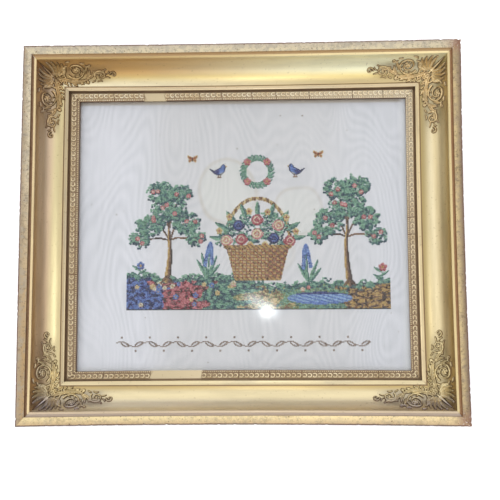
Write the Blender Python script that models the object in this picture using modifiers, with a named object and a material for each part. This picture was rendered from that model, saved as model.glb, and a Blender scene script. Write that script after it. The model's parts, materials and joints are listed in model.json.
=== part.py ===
"""A framed cross stitch sampler lying on its back, in metres.

X runs to the right of the picture, Y towards its top and Z out of its face. The origin is on the
surface that the frame lies on, under the middle of the frame. The gilt frame is four mitred rails
with a deep cove, a cast scroll ornament in each corner of the cove and a narrow cast band round the
sight edge. Behind the band are the glass, the stretched silk and a plain backing board.
"""

from math import cos, pi, radians, sin

import bmesh
import bpy
from mathutils import Matrix, Vector

MM = 0.001

FRAME_WIDTH = 500 * MM
FRAME_HEIGHT = 432 * MM
FRAME_DEPTH = 50 * MM

# Every piece keeps this gap to its neighbour.
GAP = 0.3 * MM

# The moulding, by its distance in from the frame's outer edge (inset) and its height.
RIM_CHAMFER = 0.8 * MM
RIM_INSET = 9.6 * MM
QUIRK_HEIGHT = 46.6 * MM
FILLET_INSET = 12.0 * MM
FILLET_END = 14.9 * MM
FILLET_HEIGHT = 48.2 * MM
COVE_RADIUS = 24.5 * MM
COVE_INSET = 15.3 * MM
COVE_TOP = 47.0 * MM
COVE_STEPS = 10
INNER_FILLET_INSET = 40.6 * MM
INNER_FILLET_END = 45.3 * MM
INNER_FILLET_HEIGHT = 23.8 * MM
INNER_FILLET_EDGE = 0.5 * MM
GROOVE_FLOOR = 16.6 * MM
SEAT_INSET = 47.9 * MM
SEAT_OUTER_HEIGHT = 17.0 * MM
SIGHT_INSET = 56.4 * MM
SIGHT_HEIGHT = 15.4 * MM
LIP_UNDERSIDE = 12.0 * MM
REBATE_WIDTH = 6.0 * MM

# The cast band stands on the seat, this far in from its outer edge. Its section is listed by the
# distance across the band and the height over its back, in millimetres.
BAND_MARGIN = 0.2 * MM
BAND_SECTION_MM = (
    (0.0, 0.0),
    (0.0, 1.4),
    (1.3, 2.5),
    (2.8, 2.6),
    (4.4, 2.1),
    (5.5, 1.1),
    (5.9, 1.1),
    (6.5, 1.7),
    (7.5, 1.6),
    (8.1, 0.8),
    (8.1, 0.0),
)

# The pack in the rebate, from the lip backwards.
GLASS_THICKNESS = 2.0 * MM
CLOTH_THICKNESS = 1.2 * MM
BOARD_THICKNESS = 6.0 * MM
BOARD_CHAMFER = 1.0 * MM

# The cast band has lost a length from its top run and one from its bottom run.
TOP_LOSS = (-115.7 * MM, -90.7 * MM)
BOTTOM_LOSS = (-106.4 * MM, -47.0 * MM)

# The cast corner ornament is fused from round strokes, cut away where it lies on the cove.
FUSE_VOXEL = 0.7 * MM
ORNAMENT_TRIANGLES = 2300
STROKE_SINK = 0.35
STROKE_SIDES = 2

# Each scroll winds round a centre on the cove: u is the distance from the frame's corner along the
# rail and w the distance across the cove from its outer edge. Columns: centre u, centre w, outer
# radius, inner radius, starting angle and swept angle in degrees, outer and inner stroke radius.
SCROLLS_MM = (
    (56.5, 22.5, 12.0, 3.2, 150, -560, 1.9, 1.2),
    (83.0, 25.5, 7.4, 1.8, 150, 500, 1.5, 1.0),
    (97.5, 24.8, 4.4, 1.0, 170, 420, 1.2, 0.8),
    (42.2, 34.2, 3.2, 0.9, 190, 400, 1.2, 0.9),
    (69.0, 35.4, 1.9, 0.6, 250, 330, 1.1, 0.8),
    (72.8, 15.0, 2.4, 0.6, 150, -330, 1.2, 0.8),
)

# Each leaf bends from its root to its tip. Columns: root u, root w, tip u, tip w, sideways bend as a
# share of its length, widest stroke radius.
LEAVES_MM = (
    (32.0, 27.0, 22.5, 5.0, 0.05, 1.5),
    (33.0, 27.0, 30.0, 4.5, 0.10, 1.5),
    (34.5, 27.5, 37.0, 7.5, 0.14, 1.5),
    (36.0, 28.0, 42.5, 12.0, 0.20, 1.4),
    (32.5, 29.5, 37.5, 35.5, 0.05, 1.6),
    (35.0, 29.0, 48.0, 32.5, 0.05, 1.9),
    (44.5, 30.0, 47.5, 14.0, -0.20, 1.5),
    (46.0, 34.0, 68.5, 29.5, -0.22, 1.9),
    (56.5, 22.5, 51.8, 19.5, 0.10, 1.5),
    (56.5, 22.5, 61.0, 19.5, 0.10, 1.5),
    (56.5, 22.5, 57.5, 27.5, 0.10, 1.5),
    (66.5, 30.5, 71.5, 19.0, 0.10, 1.6),
    (66.0, 25.0, 70.5, 14.5, -0.10, 1.4),
    (67.5, 29.0, 78.0, 20.0, 0.12, 1.6),
    (67.5, 30.0, 69.0, 34.5, 0.10, 1.4),
    (75.0, 21.0, 91.0, 17.5, 0.14, 1.5),
    (88.0, 26.5, 95.5, 28.4, -0.05, 1.5),
)

# A scroll tightens by this power of its length. A leaf is this share of its full radius at its
# narrowest, and runs over this part of half a sine wave, from a full root to a thin tip.
SCROLL_TIGHTENING = 0.8
SCROLL_DEGREES_A_POINT = 28
LEAF_POINTS = 7
LEAF_NARROWEST = 0.45
LEAF_WAVE = (0.2, 0.95)

# The long spine of the corner leaf, along the mitre: inset of its root and tip, its widest radius,
# and the share of it that is left at both ends.
SPINE_MM = (34.0, 17.0, 1.9)
SPINE_NARROWEST = 0.55

# The finest detail of a stroke's mesh that stays apart, and the angle past which an edge is sharp.
WELD = 0.001 * MM
SHARP_DEGREES = 30
CAST_SHARP_DEGREES = 50

# The solid that clears the ornament off the cove starts this far before the frame's corner and is
# this long, wide and high. Its inner wall stands this far past the cove's inner end.
CUTTER_START = -20 * MM
CUTTER_LENGTH = 140 * MM
CUTTER_WALL = 0.2 * MM


def clear_scene():
    """Remove whatever the file holds."""
    for obj in list(bpy.data.objects):
        bpy.data.objects.remove(obj)


def material(name, colour, roughness, metallic=0.0, alpha=1.0):
    """Make a plain Principled material."""
    made = bpy.data.materials.new(name)
    made.use_nodes = True
    shader = made.node_tree.nodes["Principled BSDF"]
    shader.inputs["Base Color"].default_value = (*colour, 1.0)
    shader.inputs["Roughness"].default_value = roughness
    shader.inputs["Metallic"].default_value = metallic
    shader.inputs["Alpha"].default_value = alpha
    return made


def collection(name, shown=True):
    """Make a collection in the scene."""
    made = bpy.data.collections.new(name)
    bpy.context.scene.collection.children.link(made)
    made.hide_render = not shown
    return made


def add_object(name, mesh, home, finish=None):
    """Put a mesh in a collection as an object with one finish."""
    obj = bpy.data.objects.new(name, mesh)
    home.objects.link(obj)
    if finish:
        mesh.materials.clear()
        mesh.materials.append(finish)
    return obj


def smooth_round_faces(mesh, sharpest=SHARP_DEGREES):
    """Shade a mesh smooth but for its sharp edges."""
    mesh.shade_smooth()
    mesh.set_sharp_from_angle(angle=radians(sharpest))


def cove_arc(radius):
    """List the cove's points, outer edge first, at a radius about its own centre."""
    centre_inset = COVE_INSET + COVE_RADIUS
    turns = [0.5 * pi * step / COVE_STEPS for step in range(COVE_STEPS + 1)]
    return [(centre_inset - radius * cos(turn), COVE_TOP - radius * sin(turn)) for turn in turns]


def moulding_profile():
    """List the rail's section as (inset, height) points, up its outer side and in over its face."""
    rebate_inset = SIGHT_INSET - REBATE_WIDTH
    face = [
        (0.0, 0.0),
        (0.0, FRAME_DEPTH - RIM_CHAMFER),
        (RIM_CHAMFER, FRAME_DEPTH),
        (RIM_INSET, FRAME_DEPTH),
        (RIM_INSET, QUIRK_HEIGHT),
        (FILLET_INSET, QUIRK_HEIGHT),
        (FILLET_INSET, FILLET_HEIGHT),
        (FILLET_END, FILLET_HEIGHT),
    ]
    inner = [
        (INNER_FILLET_INSET, cove_arc(COVE_RADIUS)[-1][1]),
        (INNER_FILLET_INSET, INNER_FILLET_HEIGHT - INNER_FILLET_EDGE),
        (INNER_FILLET_INSET + INNER_FILLET_EDGE, INNER_FILLET_HEIGHT),
        (INNER_FILLET_END - INNER_FILLET_EDGE, INNER_FILLET_HEIGHT),
        (INNER_FILLET_END, INNER_FILLET_HEIGHT - INNER_FILLET_EDGE),
        (INNER_FILLET_END, GROOVE_FLOOR),
        (SEAT_INSET, GROOVE_FLOOR),
        (SEAT_INSET, SEAT_OUTER_HEIGHT),
        (SIGHT_INSET, SIGHT_HEIGHT),
        (SIGHT_INSET, LIP_UNDERSIDE),
        (rebate_inset, LIP_UNDERSIDE),
        (rebate_inset, 0.0),
    ]
    return face + cove_arc(COVE_RADIUS) + inner


def seat_height(inset):
    """Give the height of the sloping seat under the cast band."""
    fall = (SEAT_OUTER_HEIGHT - SIGHT_HEIGHT) / (SIGHT_INSET - SEAT_INSET)
    return SEAT_OUTER_HEIGHT - fall * (inset - SEAT_INSET)


def band_profile():
    """List the cast band's section: a rounded leaf course, a nick and a bead course."""
    start = SEAT_INSET + BAND_MARGIN
    section = [(start + across * MM, high * MM) for across, high in BAND_SECTION_MM]
    return [(inset, seat_height(inset) + GAP + high) for inset, high in section]


def cut_off(bm, point, normal):
    """Cut away what lies beyond a plane, on the side its normal points to, and close the cut."""
    everything = bm.verts[:] + bm.edges[:] + bm.faces[:]
    cut = bmesh.ops.bisect_plane(bm, geom=everything, plane_co=point, plane_no=normal, clear_outer=True)
    edges = [item for item in cut["geom_cut"] if isinstance(item, bmesh.types.BMEdge)]
    bmesh.ops.contextual_create(bm, geom=edges)


def extrusion(profile, start, end, mitre_start=False, mitre_end=False):
    """Extrude an (inset, height) section along X.

    A mitre leans that end by 45 degrees, so that the piece gets shorter towards the picture.
    """
    bm = bmesh.new()
    corners = [bm.verts.new((start, inset, height)) for inset, height in profile]
    section = bm.faces.new(corners)
    grown = bmesh.ops.extrude_face_region(bm, geom=[section])
    far_side = [item for item in grown["geom"] if isinstance(item, bmesh.types.BMVert)]
    bmesh.ops.translate(bm, verts=far_side, vec=(end - start, 0, 0))
    if mitre_start:
        cut_off(bm, Vector((start, 0, 0)), Vector((-1, 1, 0)))
    if mitre_end:
        cut_off(bm, Vector((end, 0, 0)), Vector((1, 1, 0)))
    bmesh.ops.recalc_face_normals(bm, faces=bm.faces[:])
    mesh = bpy.data.meshes.new("extrusion")
    bm.to_mesh(mesh)
    bm.free()
    smooth_round_faces(mesh)
    return mesh


def side_placements():
    """Give each side's name, its length and the place and turn that put its outer edge right."""
    return (
        ("bottom", FRAME_WIDTH, (0, -FRAME_HEIGHT / 2, 0), 0.0),
        ("right", FRAME_HEIGHT, (FRAME_WIDTH / 2, 0, 0), 0.5 * pi),
        ("top", FRAME_WIDTH, (0, FRAME_HEIGHT / 2, 0), pi),
        ("left", FRAME_HEIGHT, (-FRAME_WIDTH / 2, 0, 0), 1.5 * pi),
    )


def place(obj, location, turn):
    """Set an object down at a place, turned about Z."""
    obj.location = location
    obj.rotation_euler = (0, 0, turn)


def build_rails(home, finish):
    """Build the four mitred rails, each drawn back from its mitres by half of the gap."""
    for side, length, location, turn in side_placements():
        half = length / 2 - GAP / 2
        mesh = extrusion(moulding_profile(), -half, half, mitre_start=True, mitre_end=True)
        place(add_object(f"rail_{side}", mesh, home, finish), location, turn)


def build_sight_band(home, finish):
    """Build the cast band in runs: one on each upright side, and two where a length is lost."""
    profile = band_profile()
    for side, length, location, turn in side_placements():
        half = length / 2 - GAP
        if side == "top":
            # This side is turned by half a circle, so its own X runs the other way.
            runs = (("left", -TOP_LOSS[0], half), ("right", -half, -TOP_LOSS[1]))
        elif side == "bottom":
            runs = (("left", -half, BOTTOM_LOSS[0]), ("right", BOTTOM_LOSS[1], half))
        else:
            runs = (("run", -half, half),)
        for run, start, end in runs:
            mesh = extrusion(profile, start, end, start == -half, end == half)
            place(add_object(f"band_{side}_{run}", mesh, home, finish), location, turn)


def on_cove(u, w, lift=0.0):
    """Give a point of the bottom rail's cove, lifted square to its surface.

    The corner of the frame is the origin, u runs along the rail and w across the cove.
    """
    turn = w / COVE_RADIUS
    radius = COVE_RADIUS - lift
    inset = COVE_INSET + COVE_RADIUS - radius * cos(turn)
    return Vector((u, inset, COVE_TOP - radius * sin(turn)))


def swapped(point):
    """Mirror a point of the corner in the mitre, onto the other rail."""
    return Vector((point.y, point.x, point.z))


def scroll_stroke(centre_u, centre_w, outer, inner, start, sweep, thick, thin):
    """List a scroll's (point, radius) pairs, winding from its outer end to its eye."""
    steps = round(abs(sweep) / SCROLL_DEGREES_A_POINT)
    stroke = []
    for step in range(steps + 1):
        share = step / steps
        angle = radians(start + sweep * share)
        reach = outer + (inner - outer) * share**SCROLL_TIGHTENING
        radius = thick + (thin - thick) * share
        u = (centre_u + reach * cos(angle)) * MM
        w = (centre_w + reach * sin(angle)) * MM
        stroke.append((on_cove(u, w, STROKE_SINK * radius * MM), radius * MM))
    return stroke


def leaf_stroke(root_u, root_w, tip_u, tip_w, bend, widest):
    """List a leaf's (point, radius) pairs: fullest near its middle and narrow at its tip."""
    stroke = []
    wave_start, wave_end = LEAF_WAVE
    for step in range(LEAF_POINTS):
        share = step / (LEAF_POINTS - 1)
        sideways = bend * 4 * share * (1 - share)
        swell = sin(pi * (wave_start + (wave_end - wave_start) * share))
        u = root_u + (tip_u - root_u) * share - (tip_w - root_w) * sideways
        w = root_w + (tip_w - root_w) * share + (tip_u - root_u) * sideways
        radius = widest * (LEAF_NARROWEST + (1 - LEAF_NARROWEST) * swell)
        stroke.append((on_cove(u * MM, w * MM, STROKE_SINK * radius * MM), radius * MM))
    return stroke


def spine_stroke():
    """List the (point, radius) pairs of the corner leaf's spine, which lies in the mitre."""
    root, tip, widest = SPINE_MM
    stroke = []
    for step in range(LEAF_POINTS):
        share = step / (LEAF_POINTS - 1)
        inset = (root + (tip - root) * share) * MM
        reach = (COVE_INSET + COVE_RADIUS - inset) / COVE_RADIUS
        height = COVE_TOP - COVE_RADIUS * (1 - reach**2) ** 0.5
        radius = widest * (SPINE_NARROWEST + (1 - SPINE_NARROWEST) * sin(pi * share)) * MM
        stroke.append((Vector((inset, inset, height + STROKE_SINK * radius)), radius))
    return stroke


def stroke_mesh(strokes):
    """Sweep every stroke as a round tube of varying thickness, and return them as one mesh."""
    curve = bpy.data.curves.new("strokes", "CURVE")
    curve.dimensions = "3D"
    curve.bevel_depth = 1.0
    curve.bevel_resolution = STROKE_SIDES
    curve.use_fill_caps = True
    for stroke in strokes:
        spline = curve.splines.new("POLY")
        spline.points.add(len(stroke) - 1)
        for control, (point, radius) in zip(spline.points, stroke):
            control.co = (*point, 1.0)
            control.radius = radius
    guide = bpy.data.objects.new("strokes", curve)
    bpy.context.scene.collection.objects.link(guide)
    graph = bpy.context.evaluated_depsgraph_get()
    mesh = bpy.data.meshes.new_from_object(guide.evaluated_get(graph))
    bpy.data.objects.remove(guide)
    bm = bmesh.new()
    bm.from_mesh(mesh)
    bmesh.ops.remove_doubles(bm, verts=bm.verts[:], dist=WELD)
    bmesh.ops.recalc_face_normals(bm, faces=bm.faces[:])
    bm.to_mesh(mesh)
    bm.free()
    return mesh


def applied_mesh(obj):
    """Return an object's mesh with its modifiers applied, as a mesh of its own."""
    graph = bpy.context.evaluated_depsgraph_get()
    return bpy.data.meshes.new_from_object(obj.evaluated_get(graph))


def cove_cutter(home):
    """Make the solid that clears the ornament off one rail: the cove, a gap nearer its centre."""
    low, high = CUTTER_START, CUTTER_START + CUTTER_LENGTH
    arc = cove_arc(COVE_RADIUS - GAP)
    wall = arc[-1][0] + CUTTER_WALL
    profile = [(low, low), (low, high), (arc[0][0], high), *arc, (wall, arc[-1][1]), (wall, low)]
    cutter = add_object("cove_cutter", extrusion(profile, low, high), home)
    cutter.hide_render = True
    cutter.display_type = "WIRE"
    return cutter


def ornament_mesh(cutters_home):
    """Fuse the strokes of both arms into one body and clear it off the two coves."""
    strokes = [scroll_stroke(*row) for row in SCROLLS_MM] + [leaf_stroke(*row) for row in LEAVES_MM]
    mirrored = [[(swapped(point), radius) for point, radius in stroke] for stroke in strokes]
    body = add_object("ornament_strokes", stroke_mesh(strokes + mirrored + [spine_stroke()]), cutters_home)
    body.hide_render = True
    fuse = body.modifiers.new("fuse", "REMESH")
    fuse.mode = "VOXEL"
    fuse.voxel_size = FUSE_VOXEL
    fused = add_object("ornament_fused", applied_mesh(body), cutters_home)
    fused.hide_render = True
    thin = fused.modifiers.new("thin", "DECIMATE")
    fused.data.calc_loop_triangles()
    thin.ratio = ORNAMENT_TRIANGLES / len(fused.data.loop_triangles)
    cutter = cove_cutter(cutters_home)
    turned = add_object("cove_cutter_turned", cutter.data.copy(), cutters_home)
    turned.data.transform(Matrix(((0, 1, 0, 0), (1, 0, 0, 0), (0, 0, 1, 0), (0, 0, 0, 1))))
    turned.data.flip_normals()
    turned.hide_render = True
    turned.display_type = "WIRE"
    for tool in (cutter, turned):
        cut = fused.modifiers.new(tool.name, "BOOLEAN")
        cut.operation = "DIFFERENCE"
        cut.object = tool
    mesh = applied_mesh(fused)
    mesh.name = "corner_ornament"
    smooth_round_faces(mesh, CAST_SHARP_DEGREES)
    return mesh


def build_corner_ornaments(home, cutters_home, finish):
    """Set the same casting in each corner of the cove, turned by a quarter from one to the next."""
    mesh = ornament_mesh(cutters_home)
    half_width, half_height = FRAME_WIDTH / 2, FRAME_HEIGHT / 2
    corners = (
        ("bottom_left", (-half_width, -half_height, 0), 0.0),
        ("bottom_right", (half_width, -half_height, 0), 0.5 * pi),
        ("top_right", (half_width, half_height, 0), pi),
        ("top_left", (-half_width, half_height, 0), 1.5 * pi),
    )
    for name, location, turn in corners:
        place(add_object(f"ornament_{name}", mesh, home, finish), location, turn)


def build_rebate_pack(home, glass, silk, wood):
    """Lay the glass, the silk and the board in the rebate, one behind another."""
    opening = 2 * (SIGHT_INSET - REBATE_WIDTH + GAP)
    width, height = FRAME_WIDTH - opening, FRAME_HEIGHT - opening
    layers = (
        ("glass_pane", GLASS_THICKNESS, glass),
        ("embroidered_cloth", CLOTH_THICKNESS, silk),
        ("backing_board", BOARD_THICKNESS, wood),
    )
    top = LIP_UNDERSIDE - GAP
    for name, thickness, finish in layers:
        bm = bmesh.new()
        bmesh.ops.create_cube(bm, size=1.0)
        bmesh.ops.scale(bm, vec=(width, height, thickness), verts=bm.verts[:])
        if name == "backing_board":
            back_edges = [e for e in bm.edges if all(v.co.z < 0 for v in e.verts)]
            bmesh.ops.bevel(bm, geom=back_edges, offset=BOARD_CHAMFER, segments=1, profile=0.5,
                            affect="EDGES", material=-1)
        mesh = bpy.data.meshes.new(name)
        bm.to_mesh(mesh)
        bm.free()
        layer = add_object(name, mesh, home, finish)
        layer.location = (0, 0, top - thickness / 2)
        top -= thickness + GAP


def main():
    """Build the framed sampler."""
    clear_scene()
    home = collection("framed_sampler")
    cutters_home = collection("cutters", shown=False)
    gilt = material("water_gilt", (0.78, 0.58, 0.26), 0.34, metallic=0.9)
    cast_gilt = material("cast_gilt", (0.72, 0.54, 0.26), 0.40, metallic=0.9)
    glass = material("old_glass", (0.90, 0.94, 0.92), 0.05, alpha=0.25)
    silk = material("watered_silk", (0.82, 0.80, 0.74), 0.45)
    wood = material("old_deal", (0.42, 0.30, 0.19), 0.75)
    build_rails(home, gilt)
    build_sight_band(home, cast_gilt)
    build_corner_ornaments(home, cutters_home, cast_gilt)
    build_rebate_pack(home, glass, silk, wood)


main()
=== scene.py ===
"""Dresses the framed cross stitch sampler: mouldings, castings, glass, watered silk and stitches.

Sizes are in millimetres and finished meshes in metres, in the part's own frame: X to the right of the
picture, Y towards its top, Z out of its face, and the origin on the floor under the frame's middle.
"""

import json
import logging
import math
import random
from collections.abc import Callable, Iterable, Sequence
from dataclasses import dataclass, field
from enum import Enum

import bmesh
import bpy
import numpy as np
from mathutils import Matrix, Vector, noise

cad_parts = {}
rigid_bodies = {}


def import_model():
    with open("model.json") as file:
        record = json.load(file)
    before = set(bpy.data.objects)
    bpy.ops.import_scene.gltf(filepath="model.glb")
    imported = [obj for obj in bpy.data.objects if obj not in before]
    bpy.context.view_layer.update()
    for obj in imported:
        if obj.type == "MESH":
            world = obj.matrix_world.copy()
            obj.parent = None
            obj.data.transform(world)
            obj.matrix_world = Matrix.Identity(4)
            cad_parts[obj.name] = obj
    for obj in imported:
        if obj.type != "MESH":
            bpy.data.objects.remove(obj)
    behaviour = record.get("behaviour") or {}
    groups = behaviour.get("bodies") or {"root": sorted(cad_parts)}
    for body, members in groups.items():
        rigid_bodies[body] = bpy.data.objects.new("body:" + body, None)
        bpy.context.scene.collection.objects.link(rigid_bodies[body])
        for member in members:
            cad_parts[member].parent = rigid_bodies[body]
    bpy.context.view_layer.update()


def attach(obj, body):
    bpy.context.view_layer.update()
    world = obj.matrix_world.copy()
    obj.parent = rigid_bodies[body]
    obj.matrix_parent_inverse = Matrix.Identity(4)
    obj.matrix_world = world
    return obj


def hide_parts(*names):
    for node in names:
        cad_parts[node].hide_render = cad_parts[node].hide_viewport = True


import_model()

LOG = logging.getLogger("framed_sampler")
MM = 0.001
BODY = "root"

Colour = tuple[int, int, int]
Fade = Colour | tuple[Colour, Colour]
Point = tuple[float, float]
Triple = tuple[float, float, float]


def linear(colour: Colour) -> tuple[float, float, float, float]:
    """Turn a colour of 0 to 255 into the shader's linear values."""
    shares = [part / 255 for part in colour]
    return (*[s / 12.92 if s <= 0.04045 else ((s + 0.055) / 1.055) ** 2.4 for s in shares], 1.0)


def shaded(colour: Colour, share: float) -> Colour:
    """Darken a colour to a share of itself."""
    return tuple(round(part * share) for part in colour)


def around(centre: Point, radii: Point, angle: float) -> Point:
    """Give the point of an oval at an angle."""
    return centre[0] + radii[0] * math.cos(angle), centre[1] + radii[1] * math.sin(angle)


def smooth(value: float, low: float, high: float) -> float:
    """Rise smoothly from 0 at low to 1 at high."""
    share = min(1.0, max(0.0, (value - low) / (high - low)))
    return share * share * (3 - 2 * share)


class Number:
    """A number socket of a material, with the operators that its patterns use."""

    def __init__(self, recipe: "Recipe", socket: bpy.types.NodeSocket) -> None:
        """Wrap a socket."""
        self.recipe = recipe
        self.socket = socket

    def _math(self, operation: str, first: "Number | float", second: "Number | float" = 0.0) -> "Number":
        """Add a Math node on two values and return its result."""
        made = self.recipe.node("ShaderNodeMath", {"operation": operation}, {0: first, 1: second})
        return Number(self.recipe, made.outputs[0])

    def __add__(self, other: "Number | float") -> "Number":
        """Add."""
        return self._math("ADD", self, other)

    __radd__ = __add__

    def __mul__(self, other: "Number | float") -> "Number":
        """Multiply."""
        return self._math("MULTIPLY", self, other)

    __rmul__ = __mul__

    def __sub__(self, other: "Number | float") -> "Number":
        """Subtract."""
        return self._math("SUBTRACT", self, other)

    def __rsub__(self, other: "Number | float") -> "Number":
        """Subtract from a plain number."""
        return self._math("SUBTRACT", other, self)

    def sine(self) -> "Number":
        """Take the sine."""
        return self._math("SINE", self)

    def size(self) -> "Number":
        """Drop the sign."""
        return self._math("ABSOLUTE", self)

    def rise(self, low: float, high: float) -> "Number":
        """Rise smoothly from 0 at low to 1 at high."""
        settings = {"interpolation_type": "SMOOTHSTEP"}
        made = self.recipe.node("ShaderNodeMapRange", settings, {0: self, 1: low, 2: high})
        return Number(self.recipe, made.outputs[0])

    def within(self, low: float, high: float, soft: float = 0.2) -> "Number":
        """Give 1 between two values and 0 outside, with soft edges."""
        return self.rise(low - soft, low) * (1 - self.rise(high, high + soft))


class Recipe:
    """One procedural material, built node by node."""

    def __init__(self, name: str) -> None:
        """Start a material with one Principled shader.

        Args:
            name: the material's name.
        """
        self.material = bpy.data.materials.new(name)
        self.material.use_nodes = True
        self.tree = self.material.node_tree
        self.tree.nodes.clear()
        self.shader = self.node("ShaderNodeBsdfPrincipled")
        self.output = self.node("ShaderNodeOutputMaterial", inputs={"Surface": self.shader.outputs[0]})

    def node(self, kind: str, settings: dict | None = None, inputs: dict | None = None) -> bpy.types.Node:
        """Add a node.

        Args:
            kind: the node's type name.
            settings: its properties, which are set first.
            inputs: a value, a link or a Number for each input, by name or place.

        Returns:
            The new node.
        """
        made = self.tree.nodes.new(kind)
        for key, value in (settings or {}).items():
            setattr(made, key, value)
        for key, value in (inputs or {}).items():
            source = value.socket if isinstance(value, Number) else value
            if isinstance(source, bpy.types.NodeSocket):
                self.tree.links.new(source, made.inputs[key])
            else:
                made.inputs[key].default_value = source
        return made

    def place(self, stretch: Triple = (1, 1, 1),
              start: bpy.types.NodeSocket | None = None) -> bpy.types.NodeSocket:
        """Give coordinates in metres, stretched by a factor along each axis.

        Args:
            stretch: the factors.
            start: the coordinates, or None for the object's own.

        Returns:
            The stretched coordinates.
        """
        coordinates = start or self.node("ShaderNodeTexCoord").outputs["Object"]
        settings = {"operation": "MULTIPLY"}
        return self.node("ShaderNodeVectorMath", settings, {0: coordinates, 1: stretch}).outputs[0]

    def axes(self) -> tuple[Number, Number, Number]:
        """Give the object's own X, Y and Z in metres."""
        parts = self.node("ShaderNodeSeparateXYZ", inputs={0: self.place()}).outputs
        return Number(self, parts[0]), Number(self, parts[1]), Number(self, parts[2])

    def run(self) -> bpy.types.NodeSocket:
        """Give the place along a rail, its inset and its height, in metres."""
        names = ("along", "inset", "height")
        inputs = {at: self.attribute(name) * MM for at, name in enumerate(names)}
        return self.node("ShaderNodeCombineXYZ", inputs=inputs).outputs[0]

    def attribute(self, name: str) -> Number:
        """Read a number that is stored on the mesh."""
        return Number(self, self.node("ShaderNodeAttribute", {"attribute_name": name}).outputs["Fac"])

    def cloud(self, scale: float, detail: float = 3.0, rough: float = 0.5,
              stretch: Triple = (1, 1, 1), run: bool = False) -> Number:
        """Give smooth noise between 0 and 1.

        Args:
            scale: how many lumps to a metre.
            detail: how many finer layers.
            rough: how strong the finer layers are.
            stretch: a factor on each coordinate, below 1 to draw the lumps out.
            run: whether the coordinates follow the rail instead of the frame.

        Returns:
            The noise.
        """
        place = self.place(stretch, self.run() if run else None)
        inputs = {"Vector": place, "Scale": scale, "Detail": detail, "Roughness": rough}
        return Number(self, self.node("ShaderNodeTexNoise", inputs=inputs).outputs[0])

    def mix(self, share: Number | float, first: object, second: object) -> bpy.types.NodeSocket:
        """Blend two colours.

        Args:
            share: how much of the second colour shows.
            first: a colour of 0 to 255 or a colour socket.
            second: the same for the second colour.

        Returns:
            The blended colour.
        """
        plain = [linear(c) if isinstance(c, tuple) else c for c in (first, second)]
        inputs = {0: share, 6: plain[0], 7: plain[1]}
        return self.node("ShaderNodeMix", {"data_type": "RGBA"}, inputs).outputs[2]

    def coat(self, surface: object, *layers: tuple[Number, object]) -> bpy.types.NodeSocket:
        """Lay colours over a surface in turn, each by its own share."""
        for share, colour in layers:
            surface = self.mix(share, surface, colour)
        return surface

    def relief(self, height: Number, depth: float) -> bpy.types.NodeSocket:
        """Turn a height pattern into a bumped normal."""
        return self.node("ShaderNodeBump", inputs={"Distance": depth, "Height": height}).outputs[0]

    def dress(self, **inputs: object) -> bpy.types.Material:
        """Set the shader's inputs, named with underscores, and return the material."""
        for key, value in inputs.items():
            socket = self.shader.inputs[key.replace("_", " ").title().replace("Ior", "IOR")]
            source = value.socket if isinstance(value, Number) else value
            if isinstance(source, bpy.types.NodeSocket):
                self.tree.links.new(source, socket)
            else:
                socket.default_value = linear(source) if isinstance(source, tuple) else source
        return self.material


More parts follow.
